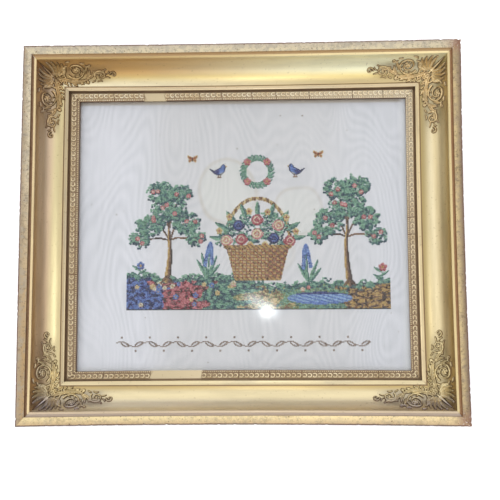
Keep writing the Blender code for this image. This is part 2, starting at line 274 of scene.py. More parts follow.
@dataclass(frozen=True)
class MouldingGilt:
    """Water gilding on one rail: clean in the cove, with painted light and shade there, and dusty and rubbed
    on the flat rim.
    """

    name: str
    bright: Fade
    # Painted light and shade on the cove near its groove.
    root: Fade
    # Painted light and shade on the cove's outer half.
    outer: Fade
    inner: Colour
    fillet: Fade
    quirk: Colour
    rim: Fade
    rim_edge: Colour
    # Dirt and painted shade on the cove among the castings.
    hollow: Colour
    shade_inset: float = 27.9
    slope: float = 0.0
    root_reach: float = 8.0
    metal: float = 0.96
    rim_metal: float = 0.45
    outer_metal: float = 0.96
    fade_reach: float = 160.0
    shade_soft: float = 4.5
    dust: float = 0.75
    ashen: Colour = (166, 157, 142)
    lip: Colour = (112, 82, 68)
    bole: Colour = (121, 85, 61)
    # Painted shade in the ditch and under the band, and specks of dirt.
    grime: Colour = (108, 78, 56)
    bare: Colour = (200, 182, 148)
    earth: Colour = (152, 116, 96)
    gesso: Colour = (222, 210, 200)

    def along(self, recipe: Recipe, colour: Fade) -> Colour | bpy.types.NodeSocket:
        """Give a colour, or the fade from a rail's start to its end between two colours."""
        if isinstance(colour[0], int):
            return colour
        share = recipe.attribute("aside").rise(-self.fade_reach, self.fade_reach)
        return recipe.mix(share, *colour)

    def outer_share(self, recipe: Recipe) -> Number:
        """Give how much a place belongs to the cove's outer, shaded half."""
        inset = recipe.attribute("inset") - recipe.attribute("aside") * self.slope
        return 1 - inset.rise(self.shade_inset - self.shade_soft, self.shade_inset + self.shade_soft)

    def ground(self, recipe: Recipe, sizes: "Moulding") -> bpy.types.NodeSocket:
        """Colour the gold member by member, with painted light and shade on the cove's outer half and near
        its groove.

        Args:
            recipe: the material.
            sizes: the moulding's section.

        Returns:
            The colour.
        """
        inset = recipe.attribute("inset")
        mottle = recipe.cloud(26, 4, 0.6, (0.4, 1, 1), run=True)
        brushed = recipe.cloud(260, 3, 0.6, (0.1, 1, 1), run=True)
        near_groove = inset.rise(sizes.cove_end - self.root_reach, sizes.cove_end - 1.0)
        outer = self.outer_share(recipe) * (0.8 + brushed * 0.3)
        past_cove = inset.rise(sizes.cove_end - 0.2, sizes.cove_end + 0.3)
        fillet = 1 - inset.rise(sizes.cove_inset - 0.4, sizes.cove_inset - 0.2)
        uneven = (mottle + (brushed - 0.5) * 0.7).rise(0.34, 0.7) * 0.2
        bright, root, far, strip = (self.along(recipe, colour)
                                    for colour in (self.bright, self.root, self.outer, self.fillet))
        # Painted light and shade: the outer colour on the cove's outer half and the root colour near its
        # groove.
        return recipe.coat(bright, (near_groove, root), (outer, far), (past_cove, self.inner),
                           (fillet, strip), (uneven, shaded(self.inner, 0.74)))

    def material(self, sizes: "Moulding") -> bpy.types.Material:
        """Build the gilding.

        Args:
            sizes: the moulding's section, which says where each member starts and ends.

        Returns:
            The material, which reads the place, inset and height stored on the rails.
        """
        recipe = Recipe(self.name)
        inset, height = recipe.attribute("inset"), recipe.attribute("height")
        cast, broken_off = recipe.attribute("cast"), recipe.attribute("broken")
        grain = recipe.cloud(520, 2, 0.65)
        blotch = recipe.cloud(150, 4, 0.65)
        freckle = recipe.cloud(330, 3, 0.7)
        wiped = recipe.cloud(70, 4, 0.65, (0.22, 1, 1), run=True)
        speck = recipe.cloud(400, 1, 0.4)
        rim = 1 - inset.rise(sizes.rim_inset - 0.2, sizes.rim_inset + 0.1)
        worn = (grain * 0.3 + wiped * 0.7 + freckle * 0.4).rise(0.66, 0.86) * 0.5
        rubbed = recipe.coat(self.along(recipe, self.rim), (1 - inset.rise(1.0, 8.5), self.rim_edge),
                             (worn, shaded(self.rim_edge, 0.8)),
                             (freckle.rise(0.52, 0.66) * self.dust * 0.7, shaded(self.rim_edge, 0.66)))
        inner = inset.within(sizes.cove_end - 1.0, sizes.inner_end, 1.0)
        patches = rim * blotch.rise(0.46, 0.62) * self.dust + inner * wiped.rise(0.5, 0.66) * 0.4
        quirk = inset.within(sizes.rim_inset, sizes.fillet_inset) * (0.65 + blotch * 0.4)
        groove = inset.within(sizes.cove_end - 0.3, sizes.inner_inset, 0.25) * (0.5 + wiped * 0.35)
        ditch = inset.within(sizes.inner_end, sizes.seat_inset, 0.1) * 0.8
        seat = inset.within(sizes.seat_inset, sizes.sight_inset, 0.2)
        lip = 1 - inset.rise(0.5, 2.4)
        chipped = (lip * 0.66 + blotch * 0.6 + grain * 0.3).rise(0.62, 0.82)
        side = (1 - height.rise(sizes.depth - 2.4, sizes.depth - 0.8)) * (1 - inset.rise(0.4, 1.2))
        bare = recipe.mix((wiped * 0.75 + grain * 0.25).rise(0.36, 0.7) * 0.6, self.lip, self.ashen)
        fallen = broken_off * rim * (blotch * 0.8 + grain * 0.5).rise(0.42, 0.6)
        core = recipe.mix(grain.rise(0.58, 0.70), self.earth, self.gesso)
        dots = (1 - speck.rise(0.25, 0.31)) * (0.3 + rim * 0.7)
        # Painted shade darkens the ditch and the seat under the band; dirt and painted shade darken the cove
        # among the castings.
        surface = recipe.coat(
            self.ground(recipe, sizes), (rim, rubbed), (patches * 0.7, self.ashen), (quirk, self.quirk),
            (groove, self.bole), (ditch, self.grime), (seat, self.grime), (seat * broken_off, self.bare),
            (cast * (0.35 + blotch * 0.55), self.hollow), ((chipped * lip + side).rise(0.1, 0.6), bare),
            (fallen, core), (dots * 0.8, self.grime))
        rough = 0.3 + wiped * 0.1 + rim * 0.22 + chipped * lip * 0.3
        metal = self.metal - rim * (self.metal - self.rim_metal) - (quirk + ditch) * 0.5
        metal = metal - (chipped * lip) * 0.4
        metal = metal - self.outer_share(recipe) * (1 - rim) * (self.metal - self.outer_metal)
        relief = recipe.relief(grain * 0.5 + wiped * 0.5, 0.00018)
        return recipe.dress(base_color=surface, roughness=rough, metallic=metal, normal=relief)


@dataclass(frozen=True)
class CastGilt:
    """Leaf over cast composition: bright on the raised parts, with dirt and painted shade in the hollows and
    painted light towards the top right.
    """

    name: str
    bright: Colour = (232, 214, 168)
    deep: Colour = (206, 182, 130)
    grime: Colour = (92, 68, 46)
    ashen: Colour = (160, 150, 150)
    low: float = 0.15
    high: float = 1.5
    metal: float = 0.95
    tooling: float = 0.0004
    uneven: float = 2.6
    paler: float = 0.06
    daylight: Colour = (255, 246, 220)
    daylight_reach: Point = (0.08, 0.34)
    dust_above: Point = (-0.198, -0.181)
    dust_beside: Point = (-0.233, -0.215)
    seam: float | None = None

    def material(self) -> bpy.types.Material:
        """Build the gilding, which reads the lift over the ground stored on the casting."""
        recipe = Recipe(self.name)
        lift = recipe.attribute("lift")
        x, y, _ = recipe.axes()
        mottle = recipe.cloud(60, 3, 0.6)
        grain = recipe.cloud(560, 2, 0.55)
        dusty = (1 - y.rise(*self.dust_above)) * 0.95 + (1 - x.rise(*self.dust_beside)) * 0.4
        uneven = (mottle - 0.5) * 0.4 + (grain - 0.5) * self.uneven
        # Dirt and painted shade in the hollows, where the gilt stands low.
        grimy_and_shaded = 1 - (lift + uneven).rise(self.low, self.high)
        # The coat's last layer is painted light, paler towards the top right.
        surface = recipe.coat(
            self.bright, ((mottle * 0.5 + grain * 0.5).rise(0.36, 0.62), self.deep),
            (dusty * (mottle * 0.8 + grain * 0.4).rise(0.3, 0.62), self.ashen), (grimy_and_shaded * 0.9, self.grime),
            ((x + y).rise(*self.daylight_reach) * self.paler, self.daylight))
        if self.seam is not None:
            crack = 1 - (x + y + self.seam).size().rise(0.0006, 0.0015)
            surface = recipe.mix(crack * 0.85, surface, self.grime)
        rough = 0.26 + grimy_and_shaded * 0.3 + mottle * 0.08
        metal = self.metal - grimy_and_shaded * 0.45
        return recipe.dress(base_color=surface, roughness=rough, metallic=metal,
                            normal=recipe.relief(grain, self.tooling))


@dataclass(frozen=True)
class BareWood:
    """Plain softwood with its grain along one axis, darkened by age."""

    name: str
    early: Colour = (164, 122, 78)
    late: Colour = (104, 70, 42)
    along_x: bool = True

    def material(self) -> bpy.types.Material:
        """Build the wood."""
        recipe = Recipe(self.name)
        stretch = (0.05, 1, 1) if self.along_x else (1, 0.05, 1)
        grain = recipe.cloud(260, 4, 0.6, stretch)
        band = recipe.cloud(40, 2, 0.5, stretch)
        surface = recipe.mix((grain * 0.6 + band * 0.5).rise(0.4, 0.75), self.early, self.late)
        return recipe.dress(base_color=surface, roughness=0.7 + grain * 0.15,
                            normal=recipe.relief(grain, 0.0002))


@dataclass(frozen=True)
class Stain:
    """The edge of a round stain: its middle and radius on the cloth, its line's width and strength."""

    centre: Point
    radius: float
    width: float
    strength: float


@dataclass(frozen=True)
class WateredSilk:
    """Ribbed silk pressed into a flame-like watered figure, with old tide lines. Its edges are in metres."""

    cool: Colour = (230, 223, 231)
    warm: Colour = (218, 210, 214)
    dim: Colour = (176, 174, 180)
    cream: Colour = (228, 222, 204)
    tide: Colour = (190, 170, 136)
    shadow: Colour = (190, 168, 148)
    lit: Colour = (255, 249, 252)
    fly: Colour = (128, 108, 84)
    rib_pitch: float = 0.42
    lip_above: Point = (0.1552, 0.1586)
    lip_beside: Point = (-0.1950, -0.1922)
    bright_below: Point = (-0.1635, -0.1520)
    bright_beside: Point = (0.1830, 0.1950)
    stains: tuple[Stain, ...] = (
        Stain((-19, 52), 37, 4.2, 0.8),
        Stain((69, 27), 29, 4.0, 0.7),
        Stain((40, -24), 22, 5.0, 0.35),
    )

    def tide_line(self, recipe: Recipe, stain: Stain, wobble: Number) -> tuple[Number, Number]:
        """Draw a stain.

        Args:
            recipe: the silk's material.
            stain: the stain.
            wobble: the noise that makes its line uneven.

        Returns:
            The strength of its edge and of the tint inside it.
        """
        settings = {"operation": "DISTANCE"}
        middle = (stain.centre[0] * MM, stain.centre[1] * MM, 0)
        flat = recipe.place((1, 1, 0))
        far = recipe.node("ShaderNodeVectorMath", settings, {0: flat, 1: middle}).outputs["Value"]
        away = Number(recipe, far) + (wobble - 0.5) * 0.03 - stain.radius * MM
        edge = (1 - away.size().rise(0.0, stain.width * MM)) * stain.strength
        return edge, (1 - away.rise(-0.006, 0.001)) * stain.strength

    def material(self) -> bpy.types.Material:
        """Build the silk."""
        recipe = Recipe("watered_silk")
        x, y, _ = recipe.axes()
        drift = recipe.cloud(11, 1.2, 0.4, (1, 0.42, 1))
        flame = recipe.cloud(60, 2, 0.5, (1, 0.2, 1))
        thread = recipe.cloud(330, 2, 0.6, (1, 0.06, 1))
        fade = recipe.cloud(16, 2, 0.5, (1, 0.6, 1))
        figure = ((drift * 210 + flame * 2.2).sine() * 0.5 + 0.5) * fade.rise(0.25, 0.55)
        warmth = (x.rise(-0.16, -0.05) * (1 - x.rise(0.05, 0.2)) * 0.7 + drift * 0.5).rise(0.25, 0.95)
        shade = figure * 0.17 + thread.rise(0.3, 0.7) * 0.1 + flame.rise(0.45, 0.8) * 0.08
        # The watered figure darkens the silk, and painted shade darkens it towards its right edge.
        ground = recipe.coat(self.cool, (warmth, self.warm), (shade + x.rise(0.1, 0.17) * 0.12, self.dim))
        for stain in self.stains:
            edge, inside = self.tide_line(recipe, stain, fade)
            ground = recipe.coat(ground, (inside * 0.28, self.cream),
                                 (edge * (0.12 + flame * 0.4), self.tide))
        under_lip = y.rise(*self.lip_above) + (1 - x.rise(*self.lip_beside)) * 0.6
        far_edge = (1 - y.rise(*self.bright_below)) + x.rise(*self.bright_beside)
        specks = 1 - recipe.cloud(230, 1, 0.3).rise(0.17, 0.2)
        ground = recipe.coat(ground, (under_lip * 0.75, self.shadow), (far_edge * 0.8, self.lit),
                             (specks * 0.7, self.fly))
        rib = (y * (2 * math.pi / (self.rib_pitch * MM))).sine() * 0.5 + 0.5
        return recipe.dress(base_color=ground, roughness=0.42 + figure * 0.16, sheen_weight=0.25,
                            normal=recipe.relief(rib * 0.5 + figure * 0.5, 0.00005))


@dataclass(frozen=True)
class ThreadDye:
    """Stranded silk thread of one colour, a little uneven from stitch to stitch."""

    name: str
    colour: Colour

    def material(self) -> bpy.types.Material:
        """Build the thread, which reads the tone stored on its stitches."""
        recipe = Recipe("thread_" + self.name)
        tone = recipe.attribute("tone")
        strand = recipe.cloud(2600, 1, 0.5)
        lighter = tuple(round(part + (255 - part) * 0.3) for part in self.colour)
        surface = recipe.coat(shaded(self.colour, 0.78), (tone, lighter), (strand * 0.25, self.colour))
        return recipe.dress(base_color=surface, roughness=0.7, normal=recipe.relief(strand, 0.00003))


@dataclass(frozen=True)
class OldGlass:
    """Clear old sheet glass."""

    sheen: float = 0.25

    def material(self) -> bpy.types.Material:
        """Build the glass: clear, with a mirror's share that grows at grazing angles."""
        recipe = Recipe("old_glass")
        recipe.dress(base_color=(250, 252, 251), roughness=0.085, metallic=1.0)
        clear = recipe.node("ShaderNodeBsdfTransparent", inputs={0: linear((250, 252, 251))})
        mirror = recipe.node("ShaderNodeFresnel", inputs={"IOR": 1.45}).outputs[0]
        share = Number(recipe, mirror) * self.sheen
        inputs = {0: share, 1: clear.outputs[0], 2: recipe.shader.outputs[0]}
        mixed = recipe.node("ShaderNodeMixShader", inputs=inputs)
        recipe.tree.links.new(mixed.outputs[0], recipe.output.inputs["Surface"])
        return recipe.material


@dataclass(frozen=True)
class Floor:
    """The plain pale floor."""

    def material(self) -> bpy.types.Material:
        """Build the floor's paint."""
        recipe = Recipe("pale_floor")
        tone = recipe.mix(recipe.cloud(4, 1, 0.4) * 0.2, (252, 252, 252), (247, 247, 247))
        return recipe.dress(base_color=tone, roughness=0.8, emission_color=(255, 255, 255),
                            emission_strength=0.3)


class Side(Enum):
    """The frame's four sides, by how many quarter turns bring the bottom one there."""

    BOTTOM = 0
    RIGHT = 1
    TOP = 2
    LEFT = 3

    @property
    def key(self) -> str:
        """The side's name, in small letters."""
        return self.name.lower()

    @property
    def sign(self) -> int:
        """Which way the side's own X runs: 1 with the frame's axis, and -1 against it."""
        return 1 if self in (Side.BOTTOM, Side.RIGHT) else -1


@dataclass(frozen=True)
class Moulding:
    """The rail's section in millimetres: inset from the frame's outer edge, and height over the back."""

    width: float = 500.0
    length: float = 432.0
    depth: float = 50.0
    rim_inset: float = 9.6
    rim_round: float = 0.9
    quirk_height: float = 46.6
    fillet_inset: float = 12.1
    fillet_end: float = 14.7
    fillet_height: float = 48.2
    cove_inset: float = 15.2
    cove_top: float = 47.0
    cove_radius: float = 24.5
    cove_width: float = 25.4
    inner_inset: float = 41.4
    inner_end: float = 45.9
    inner_height: float = 23.8
    ditch_floor: float = 16.6
    seat_inset: float = 47.5
    seat_height: float = 17.0
    sight_inset: float = 56.4
    sight_height: float = 15.4
    lip_underside: float = 12.0
    rebate_inset: float = 50.4

    @property
    def cove_end(self) -> float:
        """The inset where the cove ends."""
        return self.cove_inset + self.cove_width

    def cove(self, across: float, lift: float = 0.0) -> Point:
        """Give the inset and height of a point of the cove.

        Args:
            across: the distance over the cove's surface from its outer edge.
            lift: how far the point stands proud of the surface.

        Returns:
            The inset and the height.
        """
        turn = across / self.cove_radius
        wide, deep = self.cove_width - lift, self.cove_radius - lift
        return self.cove_end - wide * math.cos(turn), self.cove_top - deep * math.sin(turn)

    def over_seat(self, inset: float) -> float:
        """Give the height of the sloping seat at an inset."""
        fall = (self.seat_height - self.sight_height) / (self.sight_inset - self.seat_inset)
        return self.seat_height - fall * (inset - self.seat_inset)

    def rounded(self, start: Point, corner: Point, end: Point, radius: float) -> list[Point]:
        """Ease a corner of the section with a few points.

        Args:
            start: the point before the corner.
            corner: the corner itself.
            end: the point after it.
            radius: how far from the corner the easing starts.

        Returns:
            Three points in place of the corner.
        """
        here = Vector(corner)
        before = here + (Vector(start) - here).normalized() * radius
        after = here + (Vector(end) - here).normalized() * radius
        middle = (before + after) * 0.3 + here * 0.4
        return [tuple(before), tuple(middle), tuple(after)]

    def section(self, cove_steps: int = 26) -> list[Point]:
        """List the section's points, up the outer side and in over the face.

        Args:
            cove_steps: how many flats make the cove.

        Returns:
            The points of the closed outline.
        """
        sharp = [
            (0.0, 0.0), (0.0, self.depth), (self.rim_inset, self.depth),
            (self.rim_inset, self.quirk_height), (self.fillet_inset, self.quirk_height),
            (self.fillet_inset, self.fillet_height), (self.fillet_end, self.fillet_height),
            (self.cove_inset, self.cove_top),
        ]
        radii = [0, self.rim_round, 0.5, 0, 0, 0.6, 0.35, 0]
        outline = []
        for place, (point, radius) in enumerate(zip(sharp, radii)):
            if radius:
                outline += self.rounded(sharp[place - 1], point, sharp[place + 1], radius)
            else:
                outline.append(point)
        outline.insert(1, (0.0, self.depth * 0.5))
        outline.insert(5, (self.rim_inset * 0.33, self.depth))
        outline.insert(6, (self.rim_inset * 0.66, self.depth))
        quarter = 0.5 * math.pi * self.cove_radius
        outline += [self.cove(quarter * step / cove_steps) for step in range(1, cove_steps + 1)]
        groove = self.cove_top - self.cove_radius - 0.6
        inner = [
            (self.cove_end + 0.05, groove), (self.inner_inset, groove),
            (self.inner_inset, self.inner_height), (self.inner_end, self.inner_height),
            (self.inner_end, self.ditch_floor), (self.seat_inset, self.ditch_floor),
            (self.seat_inset, self.seat_height), (self.sight_inset, self.sight_height),
            (self.sight_inset, self.lip_underside), (self.rebate_inset, self.lip_underside),
            (self.rebate_inset, 0.0),
        ]
        for place, point in enumerate(inner):
            if point[1] == self.inner_height:
                outline += self.rounded(inner[place - 1], point, inner[place + 1], 0.9)
            else:
                outline.append(point)
        return outline

    def side_length(self, side: Side) -> float:
        """Give the outer length of one side."""
        return self.width if side.value % 2 == 0 else self.length

    def to_side(self, side: Side) -> Matrix:
        """Give the matrix from a side's own millimetres to the frame's metres.

        Args:
            side: the side, whose X runs along it and whose Y runs in from its outer edge.

        Returns:
            The matrix.
        """
        across = self.length if side.value % 2 == 0 else self.width
        turn = Matrix.Rotation(side.value * math.pi / 2, 4, "Z")
        return Matrix.Scale(MM, 4) @ turn @ Matrix.Translation((0, -across / 2, 0))

    def to_corner(self, quarter: int) -> Matrix:
        """Give the matrix from a corner's own millimetres to the frame's metres.

        Args:
            quarter: how many quarter turns bring the bottom left corner there.

        Returns:
            The matrix, whose X and Y run along the two rails from the corner.
        """
        left, down = (self.width, self.length) if quarter % 2 == 0 else (self.length, self.width)
        turn = Matrix.Rotation(quarter * math.pi / 2, 4, "Z")
        return Matrix.Scale(MM, 4) @ turn @ Matrix.Translation((-left / 2, -down / 2, 0))


@dataclass
class Warp:
    """How far the old rails have moved out from true, at each side's start, middle and end."""

    sizes: Moulding
    insets: tuple[float, ...] = (0.0, 12.0, 41.0, 47.0, 56.4)
    reach: dict[Side, tuple[Triple, ...]] = field(default_factory=lambda: {
        Side.LEFT: ((1.5, 2.1, 1.9), (1.3, 1.0, 1.6), (1.0, 1.3, 1.1), (1.0, 1.2, 1.2), (0.0, 0.0, 0.0)),
        Side.TOP: ((1.8, 0.2, 1.0), (0.7, -0.5, -0.4), (0.9, -0.5, 0.8), (0.8, -0.3, 0.7), (0.0, 0.0, 0.0)),
        Side.RIGHT: ((0.8, -0.9, 1.4), (0.4, -0.8, 0.8), (-0.4, -1.6, -0.4), (-1.2, -1.8, -0.6),
                     (-0.9, -1.5, -0.1)),
        Side.BOTTOM: ((1.2, -1.1, 1.5), (0.0, -1.6, -0.4), (0.0, -0.1, 0.1), (-0.2, -1.2, -0.6),
                      (-0.3, -1.4, -0.4)),
    })

    def outward(self, side: Side, share: float, inset: float) -> float:
        """Give how far a side has moved out.

        Args:
            side: the side.
            share: the place along it, from -1 at its start to 1 at its end.
            inset: the inset from its outer edge.

        Returns:
            The distance in millimetres.
        """
        moves = [middle + (end - start) / 2 * share + ((start + end) / 2 - middle) * share * share
                 for start, middle, end in self.reach[side]]
        return float(np.interp(inset, self.insets, moves))

    def shift(self, side: Side, point: Vector) -> Vector:
        """Give the move of a point in a side's own millimetres, the same on both sides of a mitre."""
        share = point.x / (self.sizes.side_length(side) / 2 - point.y)
        share = max(-1.0, min(1.0, share))
        before, after = Side((side.value - 1) % 4), Side((side.value + 1) % 4)
        along = self.outward(after, -1.0, point.y) * (1 + share) / 2
        along -= self.outward(before, 1.0, point.y) * (1 - share) / 2
        free = 1.0 if point.y < self.sizes.inner_end else smooth(point.z, 12.2, 14.0)
        return Vector((along, -self.outward(side, share, point.y), 0.0)) * free

    def corner_shift(self, quarter: int, point: Vector) -> Vector:
        """Give the move of a point in a corner's own millimetres."""
        side, before = Side(quarter), Side((quarter - 1) % 4)
        if point.y <= point.x:
            own = Vector((point.x - self.sizes.side_length(side) / 2, point.y, point.z))
            return self.shift(side, own)
        own = Vector((self.sizes.side_length(before) / 2 - point.y, point.x, point.z))
        moved = self.shift(before, own)
        return Vector((moved.y, -moved.x, 0.0))


class Maker:
    """Turns meshes into pieces of the part."""

    @staticmethod
    def finish_mesh(bm: bmesh.types.BMesh, name: str, sharp: float = 35.0) -> bpy.types.Mesh:
        """Close a bmesh into a smooth shaded mesh.

        Args:
            bm: the shape, which is freed.
            name: the mesh's name.
            sharp: the angle in degrees past which an edge stays sharp.

        Returns:
            The mesh.
        """
        mesh = bpy.data.meshes.new(name)
        bm.to_mesh(mesh)
        bm.free()
        mesh.shade_smooth()
        mesh.set_sharp_from_angle(angle=math.radians(sharp))
        return mesh

    @staticmethod
    def piece(name: str, mesh: bpy.types.Mesh, finishes: Sequence[bpy.types.Material],
              replaces: Iterable[str] = (), slot: str = "") -> bpy.types.Object:
        """Add a mesh to the part.

        Args:
            name: the piece's name.
            mesh: its mesh, in place.
            finishes: its materials.
            replaces: the solids it stands for.
            slot: a material slot's name; not used.

        Returns:
            The object.
        """
        made = bpy.data.objects.new(name, mesh)
        bpy.context.scene.collection.objects.link(made)
        mesh.materials.clear()
        for finish in finishes:
            mesh.materials.append(finish)
        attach(made, BODY)
        nodes = list(replaces)
        if nodes:
            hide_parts(*nodes)
        LOG.info("%s: %d faces", name, len(mesh.polygons))
        return made

    @staticmethod
    def sweep(bm: bmesh.types.BMesh, rings: Sequence[Matrix], sides: int, flare: float = 0.0) -> None:
        """Draw a circle out through a row of places into one closed strand.

        Args:
            bm: the shape that the strand belongs to.
            rings: where the unit circle goes, one matrix after another.
            sides: how many sides the circle has.
            flare: how much wider the strand is at its foot than at its crown.
        """
        made = bmesh.ops.create_circle(bm, cap_ends=True, radius=1.0, segments=sides)
        for vert in made["verts"]:
            vert.co.x *= 1.0 + flare * smooth(-vert.co.y, -0.6, 0.8)
        bmesh.ops.transform(bm, matrix=rings[0], verts=made["verts"])
        face = made["verts"][0].link_faces[0]
        for step, (before, after) in enumerate(zip(rings, rings[1:])):
            grown = bmesh.ops.extrude_face_region(bm, geom=[face])["geom"]
            verts = [item for item in grown if isinstance(item, bmesh.types.BMVert)]
            if step:
                bmesh.ops.delete(bm, geom=[face], context="FACES_ONLY")
            face = next(item for item in grown if isinstance(item, bmesh.types.BMFace))
            bmesh.ops.transform(bm, matrix=after @ before.inverted(), verts=verts)

    @staticmethod
    def draw_out(bm: bmesh.types.BMesh, outline: Sequence[Point], steps: int) -> None:
        """Draw a closed outline out along X, over a unit's length, and close its ends.

        Args:
            bm: the shape, which holds nothing else.
            outline: the outline's points, as their Y and Z.
            steps: how many pieces the length has.
        """
        ring = [bm.verts.new((0, aside, height)) for aside, height in outline]
        edges = [bm.edges.new((ring[at - 1], ring[at])) for at in range(len(ring))]
        bmesh.ops.spin(bm, geom=ring + edges, cent=(0, 0, 0), axis=(0, 0, 1), angle=0.0,
                       dvec=(1.0 / steps, 0, 0), steps=steps, use_merge=False, use_duplicate=False)
        bmesh.ops.holes_fill(bm, edges=bm.edges[:], sides=0)

    @staticmethod
    def stored(mesh: bpy.types.Mesh, name: str, values: Sequence[float]) -> None:
        """Store one number for each point of a mesh."""
        layer = mesh.attributes.new(name, "FLOAT", "POINT")
        layer.data.foreach_set("value", np.asarray(values, np.float32))

    @staticmethod
    def repeat(unit: bpy.types.Mesh, places: np.ndarray, name: str,
               tones: Sequence[float] | None = None) -> bpy.types.Mesh:
        """Join many copies of one small mesh.

        Args:
            unit: the mesh to copy.
            places: one 4 by 4 matrix for each copy.
            name: the joined mesh's name.
            tones: a number for each copy, stored on its points as its tone.

        Returns:
            The joined mesh.
        """
        count = len(unit.vertices)
        points = np.ones((count, 4), np.float64)
        flat = np.empty(count * 3, np.float32)
        unit.vertices.foreach_get("co", flat)
        points[:, :3] = flat.reshape(-1, 3)
        moved = np.einsum("nij,pj->npi", np.asarray(places), points)[:, :, :3].reshape(-1, 3)
        faces = [list(face.vertices) for face in unit.polygons]
        made = bpy.data.meshes.new(name)
        every = [[at + copy * count for at in face] for copy in range(len(places)) for face in faces]
        made.from_pydata(moved.tolist(), [], every)
        made.shade_smooth()
        made.set_sharp_from_angle(angle=math.radians(50))
        if tones is not None:
            Maker.stored(made, "tone", np.repeat(tones, count))
        return made


@dataclass
class Rails:
    """The four gilt rails, with their rubbed and chipped outer edge."""

    sizes: Moulding
    warp: Warp
    # Painted light and shade: each side has its own copy of the gilding, lighter or darker with how the light
    # falls on it, and the fades along a rail follow the light's change along it, the top rail mostly lighter
    # towards the top right.
    finishes: dict[Side, MouldingGilt] = field(default_factory=lambda: {
        Side.LEFT: MouldingGilt(
            "left_gilt", bright=(214, 199, 152), root=(218, 199, 151),
            outer=((211, 185, 158), (206, 174, 140)), inner=(194, 176, 140), fillet=(230, 207, 160),
            quirk=(121, 85, 61),
            rim=((214, 200, 170), (178, 148, 104)), rim_edge=(172, 152, 124), hollow=(129, 108, 85),
            slope=-0.012),
        Side.TOP: MouldingGilt(
            "top_gilt", bright=((222, 200, 132), (190, 166, 104)), root=((208, 186, 138), (242, 228, 190)),
            outer=((255, 252, 214), (202, 158, 96)), inner=(214, 194, 158),
            fillet=((240, 220, 166), (186, 154, 98)), quirk=(186, 152, 108), rim=(212, 198, 164),
            rim_edge=(198, 184, 160), hollow=(128, 104, 72), outer_metal=0.5, root_reach=13.0),
        Side.RIGHT: MouldingGilt(
            "right_gilt", bright=((226, 208, 163), (232, 220, 186)), root=(177, 156, 107),
            outer=((198, 174, 128), (214, 196, 152)), inner=(216, 196, 154), fillet=(215, 194, 144),
            quirk=(152, 108, 74), rim=(202, 180, 134), rim_edge=(136, 116, 94), hollow=(129, 115, 86),
            shade_inset=26.0, root_reach=14.0, rim_metal=0.75, ashen=(150, 132, 118), dust=0.55,
            slope=0.03),
        Side.BOTTOM: MouldingGilt(
            "bottom_gilt", bright=(222, 206, 165), root=(195, 170, 117),
            outer=((238, 226, 202), (220, 203, 176)), inner=(220, 203, 162), fillet=(204, 184, 156),
            quirk=(184, 166, 150), rim=((232, 213, 164), (240, 218, 168)), rim_edge=(206, 180, 140),
            hollow=(132, 122, 112), shade_inset=24.0, rim_metal=0.8, outer_metal=0.8, dust=0.3),
    })
    steps: int = 200
    mitre_gap: float = 0.12
    chip_reach: float = 2.4
    chip_depth: float = 1.5
    sway: float = 0.14
    corner_reach: float = 22.0
    grain_step: float = 700.0
    casting_start: Point = (18.0, 24.0)
    casting_end: Point = (78.0, 104.0)
    casting_outer: Point = (17.0, 22.0)
    casting_inner: Point = (33.0, 38.0)
    band_losses: dict[Side, tuple[Point, ...]] = field(default_factory=lambda: {
        Side.TOP: ((-115.7, -90.7),), Side.BOTTOM: ((-106.4, -47.0),), Side.LEFT: (), Side.RIGHT: (),
    })

    def bitten(self, side: Side, along: float, length: float) -> float:
        """Give how broken the rim is at a place, from 0 to 1: it is at both corners on the right."""
        if side is Side.LEFT or side is Side.BOTTOM and along < 0 or side is Side.TOP and along > 0:
            return 0.0
        return 1 - smooth(length / 2 - abs(along), 2.0, self.corner_reach)

    def near_casting(self, point: Vector, length: float) -> float:
        """Give how close a point of the cove is to the corner castings, from 0 to 1."""
        from_corner = length / 2 - abs(point.x)
        ends = smooth(from_corner, *self.casting_start) * (1 - smooth(from_corner, *self.casting_end))
        across = smooth(point.y, *self.casting_outer) * (1 - smooth(point.y, *self.casting_inner))
        return ends * across

    def lost(self, side: Side, along: float) -> bool:
        """Tell whether the cast band is missing at a place along a side."""
        return any(first - 1 <= side.sign * along <= last + 1 for first, last in self.band_losses[side])

    def broken(self, side: Side, point: Vector, length: float) -> float:
        """Give how broken the gilding is: at the rim's bitten corners, and where the band is missing."""
        if point.y < self.sizes.fillet_inset:
            return self.bitten(side, point.x, length)
        return float(self.lost(side, point.x))

    def wear(self, side: Side, point: Vector, length: float) -> Vector:
        """Rub and chip one point of a rail.

        Args:
            side: the side that the rail is on.
            point: the point in the rail's own millimetres.
            length: the rail's outer length.

        Returns:
            The worn point.
        """
        seed = side.value * 37.0
        wave = noise.noise(Vector((point.x * 0.02, seed, 1.0)))
        fine = noise.noise(Vector((point.x * 0.31, seed, 5.0)))
        ragged = noise.noise(Vector((point.x * 0.9, seed, 9.0)))
        to_edge = math.hypot(point.y, self.sizes.depth - point.z)
        near = 1 - smooth(to_edge, 0.2, self.chip_reach)
        corner = self.bitten(side, point.x, length) * 0.5
        chip = max(0.0, fine * 1.3 + ragged * 0.7 + corner - 0.18) * near * self.chip_depth
        drop = self.sway * (0.5 - wave) if point.z > 1 else 0.0
        inward = chip * 0.6 + near * 0.1 * (0.5 + ragged)
        worn = Vector((0, inward, -chip * 0.7 - drop * smooth(point.z, 20, 46)))
        return point + worn + self.warp.shift(side, point)

